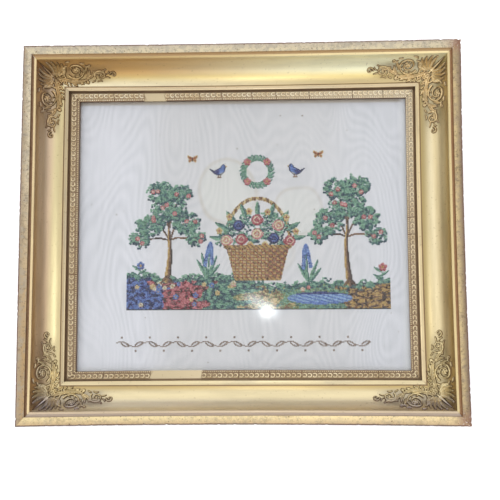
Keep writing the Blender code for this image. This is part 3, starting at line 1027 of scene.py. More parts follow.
    def rail_mesh(self, side: Side) -> bpy.types.Mesh:
        """Sweep the section along one side, mitre it, wear it and put it in place.

        Args:
            side: the side to make.

        Returns:
            The rail's mesh.
        """
        bm = bmesh.new()
        names = ("inset", "height", "along", "aside", "cast", "broken")
        layers = [bm.verts.layers.float.new(name) for name in names]
        Maker.draw_out(bm, self.sizes.section(), self.steps)
        length = self.sizes.side_length(side)
        for vert in bm.verts:
            half = length / 2 - self.mitre_gap - vert.co.y
            vert.co.x = (2 * vert.co.x - 1) * half
            values = (vert.co.y, vert.co.z, vert.co.x + self.grain_step * side.value, vert.co.x,
                      self.near_casting(vert.co, length), self.broken(side, vert.co, length))
            for layer, value in zip(layers, values):
                vert[layer] = value
            vert.co = self.wear(side, vert.co, length)
        bmesh.ops.recalc_face_normals(bm, faces=bm.faces[:])
        for face in bm.faces:
            middle = face.calc_center_median()
            behind = middle.z < 0.1 or middle.y > self.sizes.rebate_inset - 0.1 and face.normal.z < 0.5
            face.material_index = 1 if behind and middle.z < self.sizes.lip_underside + 0.1 else 0
        bmesh.ops.transform(bm, matrix=self.sizes.to_side(side), verts=bm.verts[:])
        return Maker.finish_mesh(bm, f"gilt_rail_{side.key}", 30)

    def build(self) -> None:
        """Build and dress the four rails."""
        for side in Side:
            gilt = self.finishes[side].material(self.sizes)
            wood = BareWood(f"rail_back_{side.key}", along_x=side.value % 2 == 0).material()
            Maker.piece(f"gilt_rail_{side.key}", self.rail_mesh(side), [gilt, wood],
                        [f"rail_{side.key}"], "water_gilt")


@dataclass(frozen=True)
class Stroke:
    """A modelled ridge on the cove: its line, and its half width and height at each point."""

    line: list[Point]
    widths: list[float]
    heights: list[float]


@dataclass(frozen=True)
class Leaf:
    """A leaf that bends from its root to its tip, with grooves between raised ribs."""

    root: Point
    tip: Point
    bend: float
    width: float
    height: float
    ribs: int = 1
    curl: float = 0.0

    def line(self, offset: float = 0.0, start: float = 0.0, end: float = 1.0, steps: int = 12) -> list[Point]:
        """Give a line along the leaf.

        Args:
            offset: how far to one side it runs, as a share of the leaf's own half width.
            start: where it starts, as a share of the leaf's length.
            end: where it ends.
            steps: how many pieces it has.

        Returns:
            The line's points.
        """
        along = Vector(self.tip) - Vector(self.root)
        aside = Vector((-along.y, along.x))
        points = []
        for step in range(steps + 1):
            share = start + (end - start) * step / steps
            bow = self.bend * 4 * share * (1 - share) + self.curl * share**3
            spread = offset * self.half_width(share) / max(along.length, 1e-6)
            here = Vector(self.root) + along * share + aside * (bow + spread)
            points.append((here.x, here.y))
        return points

    def half_width(self, share: float) -> float:
        """Give the leaf's half width at a share of its length: full past its middle, thin at its ends."""
        return self.width * (0.30 + 0.70 * math.sin(math.pi * min(1.0, 0.12 + 0.84 * share)) ** 0.8)

    def strokes(self) -> list[Stroke]:
        """Give the leaf's body and its raised ribs."""
        body = self.line()
        shares = [step / (len(body) - 1) for step in range(len(body))]
        widths = [self.half_width(share) for share in shares]
        low = self.height * (0.5 if self.ribs > 1 else 1.0)
        made = [Stroke(body, widths, [low * (0.7 + 0.3 * math.sin(math.pi * share)) for share in shares])]
        if self.ribs > 1:
            for rib in range(self.ribs):
                offset = (2 * rib / (self.ribs - 1) - 1) * 0.74
                reach = 0.97 - 0.2 * abs(offset)
                line = self.line(offset, 0.04, reach, 10)
                share_of = [0.04 + (reach - 0.04) * step / 10 for step in range(11)]
                rib_width = [max(0.3, self.half_width(share) * 0.75 / self.ribs) for share in share_of]
                high = [self.height * (1.0 - 0.22 * abs(offset)) * (0.75 + 0.25 * math.sin(math.pi * share))
                        for share in share_of]
                made.append(Stroke(line, rib_width, high))
        return made


@dataclass(frozen=True)
class Scroll:
    """A scroll that winds in towards its eye. Its centre is (along the rail, across the cove)."""

    centre: Point
    outer: float
    inner: float
    start: float
    sweep: float
    thick: float
    thin: float
    frill: int = 0
    frill_reach: float = 2.6
    tightening: float = 0.8

    def at(self, share: float, aside: float = 0.0) -> Point:
        """Give the point at a share of the scroll's length, moved out by a distance."""
        angle = math.radians(self.start + self.sweep * share)
        reach = self.outer + (self.inner - self.outer) * share**self.tightening + aside
        return self.centre[0] + reach * math.cos(angle), self.centre[1] + reach * math.sin(angle)

    def stroke(self) -> Stroke:
        """Give the scroll's ridge."""
        steps = max(8, round(abs(self.sweep) / 15))
        line = [self.at(step / steps) for step in range(steps + 1)]
        widths = [self.thick + (self.thin - self.thick) * step / steps for step in range(steps + 1)]
        return Stroke(line, widths, [0.5 + width * 1.3 for width in widths])

    def leaves(self) -> list[Leaf]:
        """Give the small leaves that curl in from the scroll's first turn."""
        made = []
        for place in range(self.frill):
            share = 0.06 + 0.5 * place / self.frill
            tip = self.at(share + 16 / abs(self.sweep), -self.frill_reach)
            made.append(Leaf(self.at(share), tip, -0.16, 0.55, 1.4))
        return made


@dataclass
class CornerCastings:
    """The four cast ornaments in the cove's corners: a shell leaf, and scrolls along both rails.

    A place on the cove is (along the rail from the corner, across the cove from its outer edge).
    """

    sizes: Moulding
    warp: Warp
    voxel: float = 0.32
    sink: float = 0.7
    sides: int = 12
    flare: float = 0.3
    foot_reach: float = 0.7
    foot_height: float = 0.16
    rise: float = 1.3
    kept_share: float = 0.24
    scrolls: list[Scroll] = field(default_factory=lambda: [
        Scroll((56.0, 18.6), 11.6, 3.6, 150, -600, 1.1, 0.75, 7, 2.9),
        Scroll((84.4, 25.0), 7.6, 1.6, 140, 560, 0.95, 0.65, 5, 2.2),
        Scroll((99.4, 24.0), 4.2, 0.9, 165, 470, 0.85, 0.55),
        Scroll((41.4, 33.4), 3.2, 0.7, 190, 470, 0.95, 0.6),
        Scroll((68.6, 33.8), 1.9, 0.5, 250, 360, 0.8, 0.55),
        Scroll((72.6, 12.0), 2.2, 0.5, 150, -380, 0.8, 0.55),
    ])
    leaves: list[Leaf] = field(default_factory=lambda: [
        Leaf((29.5, 24.6), (22.4, 5.0), 0.07, 1.9, 2.1, 1, 0.08),
        Leaf((30.5, 24.4), (27.8, 4.2), 0.12, 1.9, 2.1, 1, 0.11),
        Leaf((31.8, 24.4), (33.2, 4.8), 0.16, 1.8, 2.1, 1, 0.15),
        Leaf((33.0, 24.8), (38.0, 7.2), 0.20, 1.7, 2.0, 1, 0.17),
        Leaf((34.2, 25.4), (41.6, 11.0), 0.24, 1.6, 2.0, 1, 0.17),
        Leaf((36.5, 24.5), (43.4, 15.4), 0.26, 1.2, 1.9),
        Leaf((43.0, 34.0), (45.6, 37.6), 0.1, 0.95, 1.8),
        Leaf((47.2, 34.4), (49.8, 37.8), 0.1, 0.95, 1.8),
        Leaf((51.4, 34.6), (53.4, 37.4), 0.1, 0.9, 1.8),
        Leaf((64.4, 31.6), (67.6, 34.6), 0.1, 0.9, 1.7),
        Leaf((45.6, 9.0), (51.6, 4.6), -0.2, 1.0, 1.7),
        Leaf((62.6, 7.2), (68.0, 8.0), 0.2, 0.9, 1.6),
        Leaf((80.0, 33.0), (86.4, 32.4), -0.2, 0.8, 1.4),
        Leaf((32.4, 26.6), (38.4, 36.4), 0.04, 1.6, 2.0, 2),
        Leaf((34.8, 27.0), (48.0, 30.6), 0.10, 2.0, 2.3, 2),
        Leaf((43.0, 28.5), (46.8, 11.6), -0.24, 1.4, 1.9),
        Leaf((43.2, 29.6), (69.0, 29.4), 0.13, 2.4, 2.5, 2),
        Leaf((52.0, 36.4), (56.5, 38.2), -0.1, 1.0, 1.7),
        Leaf((60.0, 36.2), (64.5, 35.8), -0.2, 1.0, 1.7),
        Leaf((67.0, 29.6), (71.6, 18.2), 0.12, 1.6, 2.1, 2),
        Leaf((66.6, 23.6), (71.0, 12.2), -0.10, 1.1, 1.8),
        Leaf((67.8, 20.6), (67.8, 11.0), 0.12, 1.0, 1.7),
        Leaf((68.0, 29.2), (78.4, 19.8), 0.10, 1.5, 2.1, 2),
        Leaf((67.8, 30.5), (69.4, 34.4), 0.10, 0.9, 1.6),
        Leaf((74.6, 20.6), (91.6, 17.2), 0.15, 1.7, 2.0, 2),
        Leaf((88.4, 27.4), (95.6, 28.6), -0.08, 0.9, 1.5),
        Leaf((78.0, 31.4), (73.6, 34.0), 0.1, 0.8, 1.4),
        Leaf((90.6, 24.0), (94.4, 19.6), 0.2, 0.8, 1.4),
    ])
    flower: Point = (56.0, 18.6)
    flower_radius: float = 3.7
    petals: int = 5
    spine_root: float = 31.0
    spine_tip: float = 16.6
    spine_height: float = 1.7
    spine_steps: int = 12
    # Painted light and shade: each corner's gold has its own tone, the top left one darker as it faces away
    # from the light.
    tones: dict[str, Colour] = field(default_factory=lambda: {
        "bottom_left": (240, 218, 164), "bottom_right": (242, 222, 170),
        "top_right": (242, 212, 156), "top_left": (222, 190, 136),
    })
    cracked: str = "top_left"
    crack_at: float = 0.0345

    def on_cove(self, at: Point, lift: float) -> Vector:
        """Give a point over the cove of the rail along X, in the corner's own millimetres."""
        inset, height = self.sizes.cove(at[1], lift)
        return Vector((at[0], inset, height))

    def ring(self, stroke: Stroke, at: int) -> Matrix:
        """Give the matrix that sets a unit circle across a stroke.

        Args:
            stroke: the stroke.
            at: which of its points.

        Returns:
            The matrix.
        """
        before = self.on_cove(stroke.line[max(0, at - 1)], 0)
        after = self.on_cove(stroke.line[min(len(stroke.line) - 1, at + 1)], 0)
        along = (after - before).normalized()
        turn = stroke.line[at][1] / self.sizes.cove_radius
        up = Vector((0, math.cos(turn), math.sin(turn)))
        aside = up.cross(along).normalized()
        across = aside * stroke.widths[at]
        high = (stroke.heights[at] + self.sink) / 2
        middle = self.on_cove(stroke.line[at], (stroke.heights[at] - self.sink) / 2)
        rows = [(across[k], up[k] * high, along[k], middle[k]) for k in range(3)]
        return Matrix((*rows, (0, 0, 0, 1)))

    def sweep(self, bm: bmesh.types.BMesh, stroke: Stroke) -> None:
        """Draw a stroke out into a closed ridge on a low, wider foot, which takes dirt and painted shade."""
        ridge = Stroke(stroke.line, stroke.widths, [high * self.rise for high in stroke.heights])
        foot = Stroke(stroke.line, [wide + self.foot_reach for wide in stroke.widths],
                      [self.foot_height for _ in stroke.line])
        Maker.sweep(bm, [self.ring(ridge, at) for at in range(len(ridge.line))], self.sides, self.flare)
        Maker.sweep(bm, [self.ring(foot, at) for at in range(len(foot.line))], 8)

    def bead(self, bm: bmesh.types.BMesh, at: Point, radius: float, lift: float) -> None:
        """Set a small dome on the cove."""
        middle = Matrix.Translation(self.on_cove(at, lift))
        bmesh.ops.create_uvsphere(bm, u_segments=12, v_segments=8, radius=radius, matrix=middle)

    def shell_spine(self, bm: bmesh.types.BMesh) -> None:
        """Draw the shell leaf's middle ridge along the mitre, from its root to the corner."""
        rings = []
        for step in range(self.spine_steps + 1):
            share = step / self.spine_steps
            inset = self.spine_root + (self.spine_tip - self.spine_root) * share
            reach = (self.sizes.cove_end - inset) / self.sizes.cove_width
            height = self.sizes.cove_top - self.sizes.cove_radius * math.sqrt(1 - reach * reach)
            full = self.spine_height * (0.4 + 0.6 * math.sin(math.pi * min(1.0, 0.15 + 0.8 * share)))
            here = Matrix.Translation((inset, inset, height + full * 0.5))
            turn = Matrix.Rotation(math.pi / 4, 4, "Z") @ Matrix.Rotation(math.pi / 2, 4, "Y")
            rings.append(here @ turn @ Matrix.Diagonal((full * 1.5, full, 1.0, 1.0)))
        Maker.sweep(bm, rings, self.sides)

    def arm(self, bm: bmesh.types.BMesh) -> None:
        """Model everything of one arm."""
        for scroll in self.scrolls:
            self.sweep(bm, scroll.stroke())
            if scroll.centre != self.flower:
                self.bead(bm, scroll.centre, max(0.7, scroll.inner * 0.95), 0.5)
        for leaf in [*self.leaves, *(leaf for scroll in self.scrolls for leaf in scroll.leaves())]:
            for stroke in leaf.strokes():
                self.sweep(bm, stroke)
        for petal in range(self.petals):
            angle = 2 * math.pi * petal / self.petals + 0.3
            reach = self.flower_radius * 0.62
            self.bead(bm, around(self.flower, (reach, reach), angle), self.flower_radius * 0.36, 0.9)
        self.bead(bm, self.flower, self.flower_radius * 0.3, 1.8)

    def casting_mesh(self) -> bpy.types.Mesh:
        """Fuse both arms into one casting in the corner's own millimetres."""
        bm = bmesh.new()
        self.arm(bm)
        half = bm.verts[:] + bm.edges[:] + bm.faces[:]
        copied = bmesh.ops.duplicate(bm, geom=half)["geom"]
        verts = [item for item in copied if isinstance(item, bmesh.types.BMVert)]
        swap = Matrix(((0, 1, 0, 0), (1, 0, 0, 0), (0, 0, 1, 0), (0, 0, 0, 1)))
        bmesh.ops.transform(bm, matrix=swap, verts=verts)
        self.shell_spine(bm)
        bmesh.ops.recalc_face_normals(bm, faces=bm.faces[:])
        raw = bpy.data.meshes.new("casting")
        bm.to_mesh(raw)
        bm.free()
        holder = bpy.data.objects.new("casting", raw)
        bpy.context.scene.collection.objects.link(holder)
        fuse = holder.modifiers.new("fuse", "REMESH")
        fuse.mode = "VOXEL"
        fuse.voxel_size = self.voxel
        thin = holder.modifiers.new("thin", "DECIMATE")
        thin.ratio = self.kept_share
        graph = bpy.context.evaluated_depsgraph_get()
        mesh = bpy.data.meshes.new_from_object(holder.evaluated_get(graph))
        bpy.data.objects.remove(holder)
        return mesh

    def lift_of(self, point: Vector) -> float:
        """Give how far a point of the casting stands over the nearer cove, in millimetres."""
        lifts = []
        for inset in (point.x, point.y):
            aside = (self.sizes.cove_end - inset) * self.sizes.cove_radius / self.sizes.cove_width
            down = self.sizes.cove_top - point.z
            lifts.append(self.sizes.cove_radius - math.hypot(max(aside, 0.0), down))
        return min(lifts)

    def build(self) -> None:
        """Set the casting in all four corners."""
        mesh = self.casting_mesh()
        lifts = [self.lift_of(vert.co) for vert in mesh.vertices]
        for quarter, (name, tone) in enumerate(self.tones.items()):
            finish = CastGilt(f"casting_gilt_{name}", tone, shaded(tone, 0.74), grime=(94, 66, 38), high=2.2,
                              seam=self.crack_at if name == self.cracked else None).material()
            placed = mesh.copy()
            for vert in placed.vertices:
                vert.co += self.warp.corner_shift(quarter, vert.co)
            placed.transform(self.sizes.to_corner(quarter))
            Maker.stored(placed, "lift", lifts)
            placed.shade_smooth()
            Maker.piece(f"corner_casting_{name}", placed, [finish], [f"ornament_{name}"], "cast_gilt")


@dataclass
class SightBand:
    """The cast band round the sight edge: a course of open husks, and a row of beads inside it."""

    sizes: Moulding
    warp: Warp
    losses: dict[Side, tuple[Point, ...]]
    margin: float = 0.2
    husk_pitch: float = 5.9
    husk_reach: float = 2.35
    husk_half_width: float = 2.0
    husk_tube: float = 0.9
    husk_inset: float = 50.75
    bead_inset: float = 55.1
    bead_pitch: float = 2.2
    bead_radius: float = 0.86
    husk_edge: float = 52.9
    bead_edge: float = 53.5
    seed: int = 11
    crack: float = 0.6
    clearance: float = 0.3
    cracks: dict[Side, tuple[float, ...]] = field(default_factory=lambda: {
        Side.TOP: (-151.8, -49.5, -23.3, 12.4, 41.0, 80.3, 131.4, 167.1),
        Side.BOTTOM: (-160.6, -4.1, 31.5, 68.4, 155.8),
        Side.LEFT: (50.1, -15.0, -47.0),
        Side.RIGHT: (16.8, -3.1, -108.5),
    })

    def section(self) -> list[Point]:
        """List the band's base section, a thin strip that is raised along its outer edge."""
        start, end = self.sizes.seat_inset + self.margin, self.sizes.sight_inset - self.margin
        rows = ((start, 0.0), (start, 1.1), (start + 0.5, 1.4), (start + 1.0, 0.8), (self.husk_edge, 0.7),
                (self.bead_edge, 0.45), (end - 0.3, 0.45), (end, 0.3), (end, 0.0))
        return [(inset, self.sizes.over_seat(inset) + self.clearance + high) for inset, high in rows]

    def runs(self, side: Side) -> list[tuple[float, float, bool, bool]]:
        """List the unbroken runs of one side.

        Args:
            side: the side.

        Returns:
            Each run's start and end along the side's own X, and whether each end is a mitre.
        """
        half = self.sizes.side_length(side) / 2
        cuts = [(side.sign * at - self.crack / 2, side.sign * at + self.crack / 2)
                for at in self.cracks[side]]
        cuts += [tuple(sorted((side.sign * first, side.sign * last))) for first, last in self.losses[side]]
        edges = [-half] + [edge for cut in sorted(cuts) for edge in cut] + [half]
        return [(edges[at], edges[at + 1], at == 0, at + 2 == len(edges)) for at in range(0, len(edges), 2)]

    def base(self, run: tuple[float, float, bool, bool], steps: int = 6) -> bpy.types.Mesh:
        """Sweep the base strip of one run, mitred where it meets a corner.

        Args:
            run: the run, as runs gives it.
            steps: how many pieces the sweep has.

        Returns:
            The strip in the side's own millimetres.
        """
        start, end, mitred_start, mitred_end = run
        bm = bmesh.new()
        Maker.draw_out(bm, self.section(), steps)
        for vert in bm.verts:
            low = start + (vert.co.y + self.clearance if mitred_start else 0)
            high = end - (vert.co.y + self.clearance if mitred_end else 0)
            vert.co.x = low + (high - low) * vert.co.x
        bmesh.ops.recalc_face_normals(bm, faces=bm.faces[:])
        return Maker.finish_mesh(bm, "band_base", 50)

    def husk_unit(self) -> bpy.types.Mesh:
        """Model one husk of the course: a raised loop, open towards the side's own left."""
        bm = bmesh.new()
        rings = []
        steps = 9
        for step in range(steps + 1):
            share = step / steps
            angle = math.radians(-142 + 284 * share)
            swell = 0.66 + 0.34 * math.sin(math.pi * share)
            at = (self.husk_reach * math.cos(angle), self.husk_half_width * math.sin(angle), 0.95)
            turn = Matrix.Rotation(angle, 4, "Z") @ Matrix.Rotation(-math.pi / 2, 4, "X")
            shape = Matrix.Diagonal((self.husk_tube * swell, self.husk_tube * (0.9 + 0.5 * swell), 1, 1))
            rings.append(Matrix.Translation(at) @ turn @ shape)
        Maker.sweep(bm, rings, 7)
        bmesh.ops.recalc_face_normals(bm, faces=bm.faces[:])
        return Maker.finish_mesh(bm, "husk_unit", 60)

    def bead_unit(self, radius: float) -> bpy.types.Mesh:
        """Model one bead."""
        bm = bmesh.new()
        bmesh.ops.create_uvsphere(bm, u_segments=7, v_segments=5, radius=radius)
        return Maker.finish_mesh(bm, "bead_unit", 60)

    def spots(self, side: Side, inset: float, pitch: float) -> list[float]:
        """List where a repeated form stands along one side.

        Args:
            side: the side.
            inset: the form's inset, which sets where the mitres cut the row.
            pitch: the distance between two forms.

        Returns:
            The places along the side's own X.
        """
        kept = []
        for start, end, mitred_start, mitred_end in self.runs(side):
            first = start + (inset if mitred_start else 0.0)
            room = end - (inset if mitred_end else 0.0) - first
            count = max(1, round(room / pitch))
            kept += [first + room * (at + 0.5) / count for at in range(count)]
        return kept

    def place_of(self, side: Side, along: float, inset: float, lift: float = 0.0, turn: float = 0.0,
                 scale: float = 1.0) -> Matrix:
        """Give the matrix that sets a form on the band."""
        here = Matrix.Translation((along, inset, self.sizes.over_seat(inset) + self.clearance + lift))
        spun = Matrix.Rotation(math.radians(turn), 4, "Z")
        return self.sizes.to_side(side) @ here @ spun @ Matrix.Scale(scale, 4)

    def finish(self, side: Side) -> CastGilt:
        """Give one side's gilding, which is lighter along the top."""
        bright, deep, grime = (248, 232, 196), (212, 190, 152), (126, 101, 76)
        if side is Side.TOP:
            bright, deep, grime = (255, 246, 220), (230, 210, 170), (150, 122, 90)
        return CastGilt(f"band_gilt_{side.key}", bright, deep, grime, low=0.45, high=1.6, metal=0.8,
                        tooling=0.0001, uneven=1.6, paler=0.3)

    def build(self) -> None:
        """Build the band, one piece for each side."""
        husk, bead = self.husk_unit(), self.bead_unit(self.bead_radius)
        draw = random.Random(self.seed)
        for side in Side:
            bm = bmesh.new()
            for run in self.runs(side):
                strip = self.base(run)
                strip.transform(self.sizes.to_side(side))
                bm.from_mesh(strip)
            husks = [self.place_of(side, at + draw.uniform(-0.15, 0.15), self.husk_inset,
                                   draw.uniform(-0.12, 0.05), draw.uniform(-8, 8),
                                   draw.uniform(0.94, 1.04))
                     for at in self.spots(side, self.husk_inset, self.husk_pitch)]
            beads = [self.place_of(side, at, self.bead_inset, 0.75 + draw.uniform(-0.15, 0.08))
                     for at in self.spots(side, self.bead_inset, self.bead_pitch)]
            for unit, places in ((husk, husks), (bead, beads)):
                bm.from_mesh(Maker.repeat(unit, np.array(places), "units"))
            mesh = Maker.finish_mesh(bm, f"cast_band_{side.key}", 50)
            Maker.stored(mesh, "lift", self.lifts(mesh, side))
            self.bend(mesh, side)
            suffixes = ("left", "right") if side in (Side.TOP, Side.BOTTOM) else ("run",)
            nodes = [f"band_{side.key}_{suffix}" for suffix in suffixes]
            Maker.piece(f"cast_band_{side.key}", mesh, [self.finish(side).material()], nodes, "cast_gilt")

    def bend(self, mesh: bpy.types.Mesh, side: Side) -> None:
        """Let a side's band follow its rail's warp."""
        place = self.sizes.to_side(side)
        back = place.inverted()
        for vert in mesh.vertices:
            own = back @ vert.co
            vert.co = place @ (own + self.warp.shift(side, own))

    def lifts(self, mesh: bpy.types.Mesh, side: Side) -> list[float]:
        """Give how far each point of a side's band stands over the seat, in millimetres."""
        back = self.sizes.to_side(side).inverted()
        found = []
        for vert in mesh.vertices:
            here = back @ vert.co
            found.append(here.z - self.sizes.over_seat(here.y) - self.clearance)
        return found


class Dye(Enum):
    """The sampler's thread colours."""

    TEAL = (76, 120, 118)
    FOREST = (52, 72, 90)
    GRASS = (136, 180, 150)
    MOSS = (138, 146, 92)
    NAVY = (44, 42, 82)
    VIOLET = (70, 70, 140)
    PERIWINKLE = (106, 134, 206)
    SKY = (160, 190, 226)
    OCHRE = (214, 170, 96)
    TAN = (228, 198, 142)
    BROWN = (146, 102, 74)
    UMBER = (74, 50, 46)
    RUST = (178, 92, 70)
    ROSE = (178, 66, 82)
    PINK = (216, 128, 132)
    CREAM = (238, 226, 200)
    SEPIA = (164, 138, 126)


ROSE_MOTIF = """
....rrrrr....
..rrpppprr...
.rppcccpprr..
.rpccrrcppr..
rppcrrprcpprr
rpcrrpprcprpr
rpcrppprrprpr
rppcrrrrpprrr
.rppccccprrr.
.rrppppprrr..
..rrrrrrrr...
....rrrr.....
"""

BIRD_MOTIF = """
................nn....
...............nppn...
..............nppxpoo.
..............nppppn..
............nnppppn...
..nn......nnppppppn...
...nnn..nnvvppppppn...
....nnnnvvvvvpppppn...
.....nnvvvvvvppppn....
......nvvvvvpppcn.....
.......nnvvppccn......
.........nnnnnn.......
...........b.b........
...........b.b........
..........bbbbb.......
"""

BUTTERFLY_MOTIF = """
oo.......oo
oroo...ooro
orrrobOrrro
.orrrbrrro.
..oorbroo..
.orrobOrro.
.oro.b.oro.
..o.....o..
"""


@dataclass
class Chart:
    """A stitching chart: squares of thread colour on a grid, painted motif by motif."""

    columns: int
    rows: int
    seed: int = 7
    squares: dict[tuple[int, int], Dye] = field(default_factory=dict)
    draw: random.Random = field(init=False)

    def __post_init__(self) -> None:
        """Seed the chart's own randomness."""
        self.draw = random.Random(self.seed)

    def dot(self, column: float, row: float, dye: Dye) -> None:
        """Colour one square, if it is on the chart."""
        at = (math.floor(column + 0.5), math.floor(row + 0.5))
        if 0 <= at[0] < self.columns and 0 <= at[1] < self.rows:
            self.squares[at] = dye

    def line(self, points: Sequence[Point], dyes: Sequence[Dye], radius: float = 0.5) -> None:
        """Paint a line, shaded from its left edge to its right.

        Args:
            points: the line's points.
            dyes: the colours across it.
            radius: its half width.
        """
        for (x0, y0), (x1, y1) in zip(points, points[1:]):
            steps = max(1, math.ceil(math.hypot(x1 - x0, y1 - y0) * 1.5))
            for step in range(steps + 1):
                x, y = x0 + (x1 - x0) * step / steps, y0 + (y1 - y0) * step / steps
                self.disc((x, y), (radius, radius), lambda dx, dy: dyes[
                    min(len(dyes) - 1, max(0, int((dx / max(radius, 0.5) * 0.5 + 0.5) * len(dyes))))])

    def disc(self, centre: Point, radii: Point, dye_at: Callable[[float, float], Dye | None]) -> None:
        """Paint an oval.

        Args:
            centre: its middle.
            radii: its half width and half height.
            dye_at: gives the colour for an offset from the middle, or None to leave the square.
        """
        columns, rows = (range(math.floor(mid - reach), math.ceil(mid + reach) + 1)
                         for mid, reach in zip(centre, radii))
        for column in columns:
            for row in rows:
                dx, dy = column - centre[0], row - centre[1]
                if (dx / radii[0]) ** 2 + (dy / radii[1]) ** 2 > 1.05:
                    continue
                dye = dye_at(dx, dy)
                if dye is not None:
                    self.dot(column, row, dye)

    def motif(self, drawing: str, at: Point, key: dict[str, Dye], flip: bool = False) -> None:
        """Copy a small drawn motif onto the chart.

        Args:
            drawing: its rows from the top, one letter a square.
            at: its middle.
            key: the colour of each letter.
            flip: whether it faces the other way.
        """
        lines = drawing.strip().splitlines()
        for down, text in enumerate(lines):
            for across, letter in enumerate(text.lower()):
                if letter in key:
                    aside = len(text) / 2 - across if flip else across - len(text) / 2
                    self.dot(at[0] + aside, at[1] + len(lines) / 2 - down, key[letter])

    def leaf(self, root: Point, tip: Point, width: float) -> None:
        """Paint a pointed leaf, light on one side of its vein and dark on the other."""
        along, up = tip[0] - root[0], tip[1] - root[1]
        length = math.hypot(along, up)
        steps = math.ceil(length * 2)
        for step in range(steps + 1):
            share = step / steps
            half = width * math.sin(math.pi * (0.08 + 0.88 * share))
            x, y = root[0] + along * share, root[1] + up * share
            for aside in np.arange(-half, half + 0.01, 0.5):
                across = aside / max(length, 1e-6)
                self.dot(x - up * across, y + along * across, Dye.GRASS if aside > 0 else Dye.TEAL)

    def blossom(self, centre: Point, size: float, petal: Dye, edge: Dye, heart: Dye) -> None:
        """Paint a round blossom with five petals."""
        for at in range(5):
            middle = around(centre, (size * 0.62, size * 0.62), math.pi * (0.5 + 0.4 * at))
            self.disc(middle, (size * 0.48, size * 0.48), lambda dx, dy: petal if dy > -0.6 else edge)
        self.disc(centre, (size * 0.3, size * 0.3), lambda _dx, _dy: heart)

    def clump(self, centre: Point, radius: float) -> None:
        """Paint one small clump of leaves, lit from the upper left."""
        for _ in range(5):
            turn = self.draw.uniform(0, 2 * math.pi)
            dx, dy = math.cos(turn), math.sin(turn)
            light = dy - dx * 0.6 + self.draw.uniform(-0.5, 0.5)
            dye = Dye.GRASS if light > 0.5 else Dye.TEAL if light > -0.4 else Dye.FOREST
            at = (centre[0] + dx * radius * 0.7, centre[1] + dy * radius * 0.6)
            self.disc(at, (1.25, 1.1), lambda _dx, _dy: dye)

    def foliage(self, centre: Point, radius: float, count: int = 0) -> None:
        """Paint a loose ball of leaf clumps, from its top down.

        Args:
            centre: its middle.
            radius: its radius.
            count: how many clumps it has, or 0 for as many as fill it.
        """
        spots = []
        for _ in range(count or round(radius * radius * 0.42)):
            angle, reach = self.draw.uniform(0, 2 * math.pi), radius * 1.06 * math.sqrt(self.draw.random())
            spots.append(around(centre, (reach, reach * 0.82), angle))
        for spot in sorted(spots, key=lambda at: -at[1]):
            self.clump(spot, self.draw.uniform(1.9, 3.3))

    def tree(self, foot: Point, height: float, sway: float, crowns: Sequence[Triple]) -> None:
        """Paint a flowering tree.

        Args:
            foot: where its trunk stands.
            height: the trunk's height.
            sway: how far the trunk leans.
            crowns: each ball of leaves, as its offset from the trunk's top and its radius.
        """
        bark = (Dye.OCHRE, Dye.BROWN, Dye.UMBER)
        trunk = [(foot[0] + sway * math.sin(share * 2.6), foot[1] + height * share)
                 for share in (0, 0.2, 0.4, 0.6, 0.8, 1.0)]
        top = trunk[-1]
        for dx, dy, _ in crowns:
            knee = (top[0] + dx * 0.3, top[1] + dy * 0.55 - 3)
            start = trunk[4] if dy < 12 else top
            self.line([start, knee, (top[0] + dx, top[1] + dy)], (Dye.BROWN, Dye.UMBER), 0.9)
        for at in range(5):
            self.line(trunk[at:at + 2], bark, 3.2 - at * 0.45)
        for side in (-1, 1):
            self.line([(foot[0] + side * 6, foot[1] - 2), (foot[0] + side, foot[1] + 4)], bark[1:], 1.2)
        for dx, dy, radius in crowns:
            self.foliage((top[0] + dx, top[1] + dy), radius)
            for _ in range(round(radius / 6)):
                angle, reach = self.draw.uniform(0, 2 * math.pi), radius * self.draw.uniform(0.1, 0.85)
                spot = around((top[0] + dx, top[1] + dy), (reach, reach * 0.8), angle)
                self.blossom(spot, 2.4, Dye.PINK, Dye.ROSE, Dye.CREAM)

    def hyacinth(self, foot: Point, height: float, lean: float) -> None:
        """Paint a hyacinth with its strap leaves."""
        for reach, rise in ((-11, 20), (10, 24), (-6, 27), (13, 15)):
            self.leaf(foot, (foot[0] + reach, foot[1] + rise), 1.5)
        self.line([foot, (foot[0] + lean, foot[1] + height)], (Dye.GRASS, Dye.TEAL), 0.9)
        for at in range(11):
            share = at / 10
            x = foot[0] + lean * (0.45 + 0.55 * share)
            y = foot[1] + height * (0.45 + 0.62 * share)
            spread = 5.4 * (1 - share) ** 0.6 + 0.6
            for side in (-1, 1):
                self.blossom((x + side * spread * 0.62, y + side), 1.9, Dye.PERIWINKLE, Dye.VIOLET, Dye.SKY)

    def sprig(self, at: Point, size: float, bloom: Dye, edge: Dye) -> None:
        """Paint a small sprig with one flower."""
        self.line([at, (at[0] + size * 0.15, at[1] + size)], (Dye.GRASS, Dye.TEAL), 0.6)
        for share, side in ((0.3, -1), (0.5, 1), (0.72, -1)):
            root = (at[0] + size * 0.1 * share, at[1] + size * share)
            self.leaf(root, (root[0] + side * size * 0.42, root[1] + size * 0.26), 1.0)
        self.blossom((at[0] + size * 0.15, at[1] + size), size * 0.24, bloom, edge, Dye.OCHRE)

    def bank_top(self, column: float) -> float:
        """Give the height of the flowered bank at a column."""
        mounds = 5.0 * math.sin(column * 0.021 + 0.5) + 2.6 * math.sin(column * 0.063 + 1.1)
        return 31.0 + mounds + 1.2 * math.sin(column * 0.31)

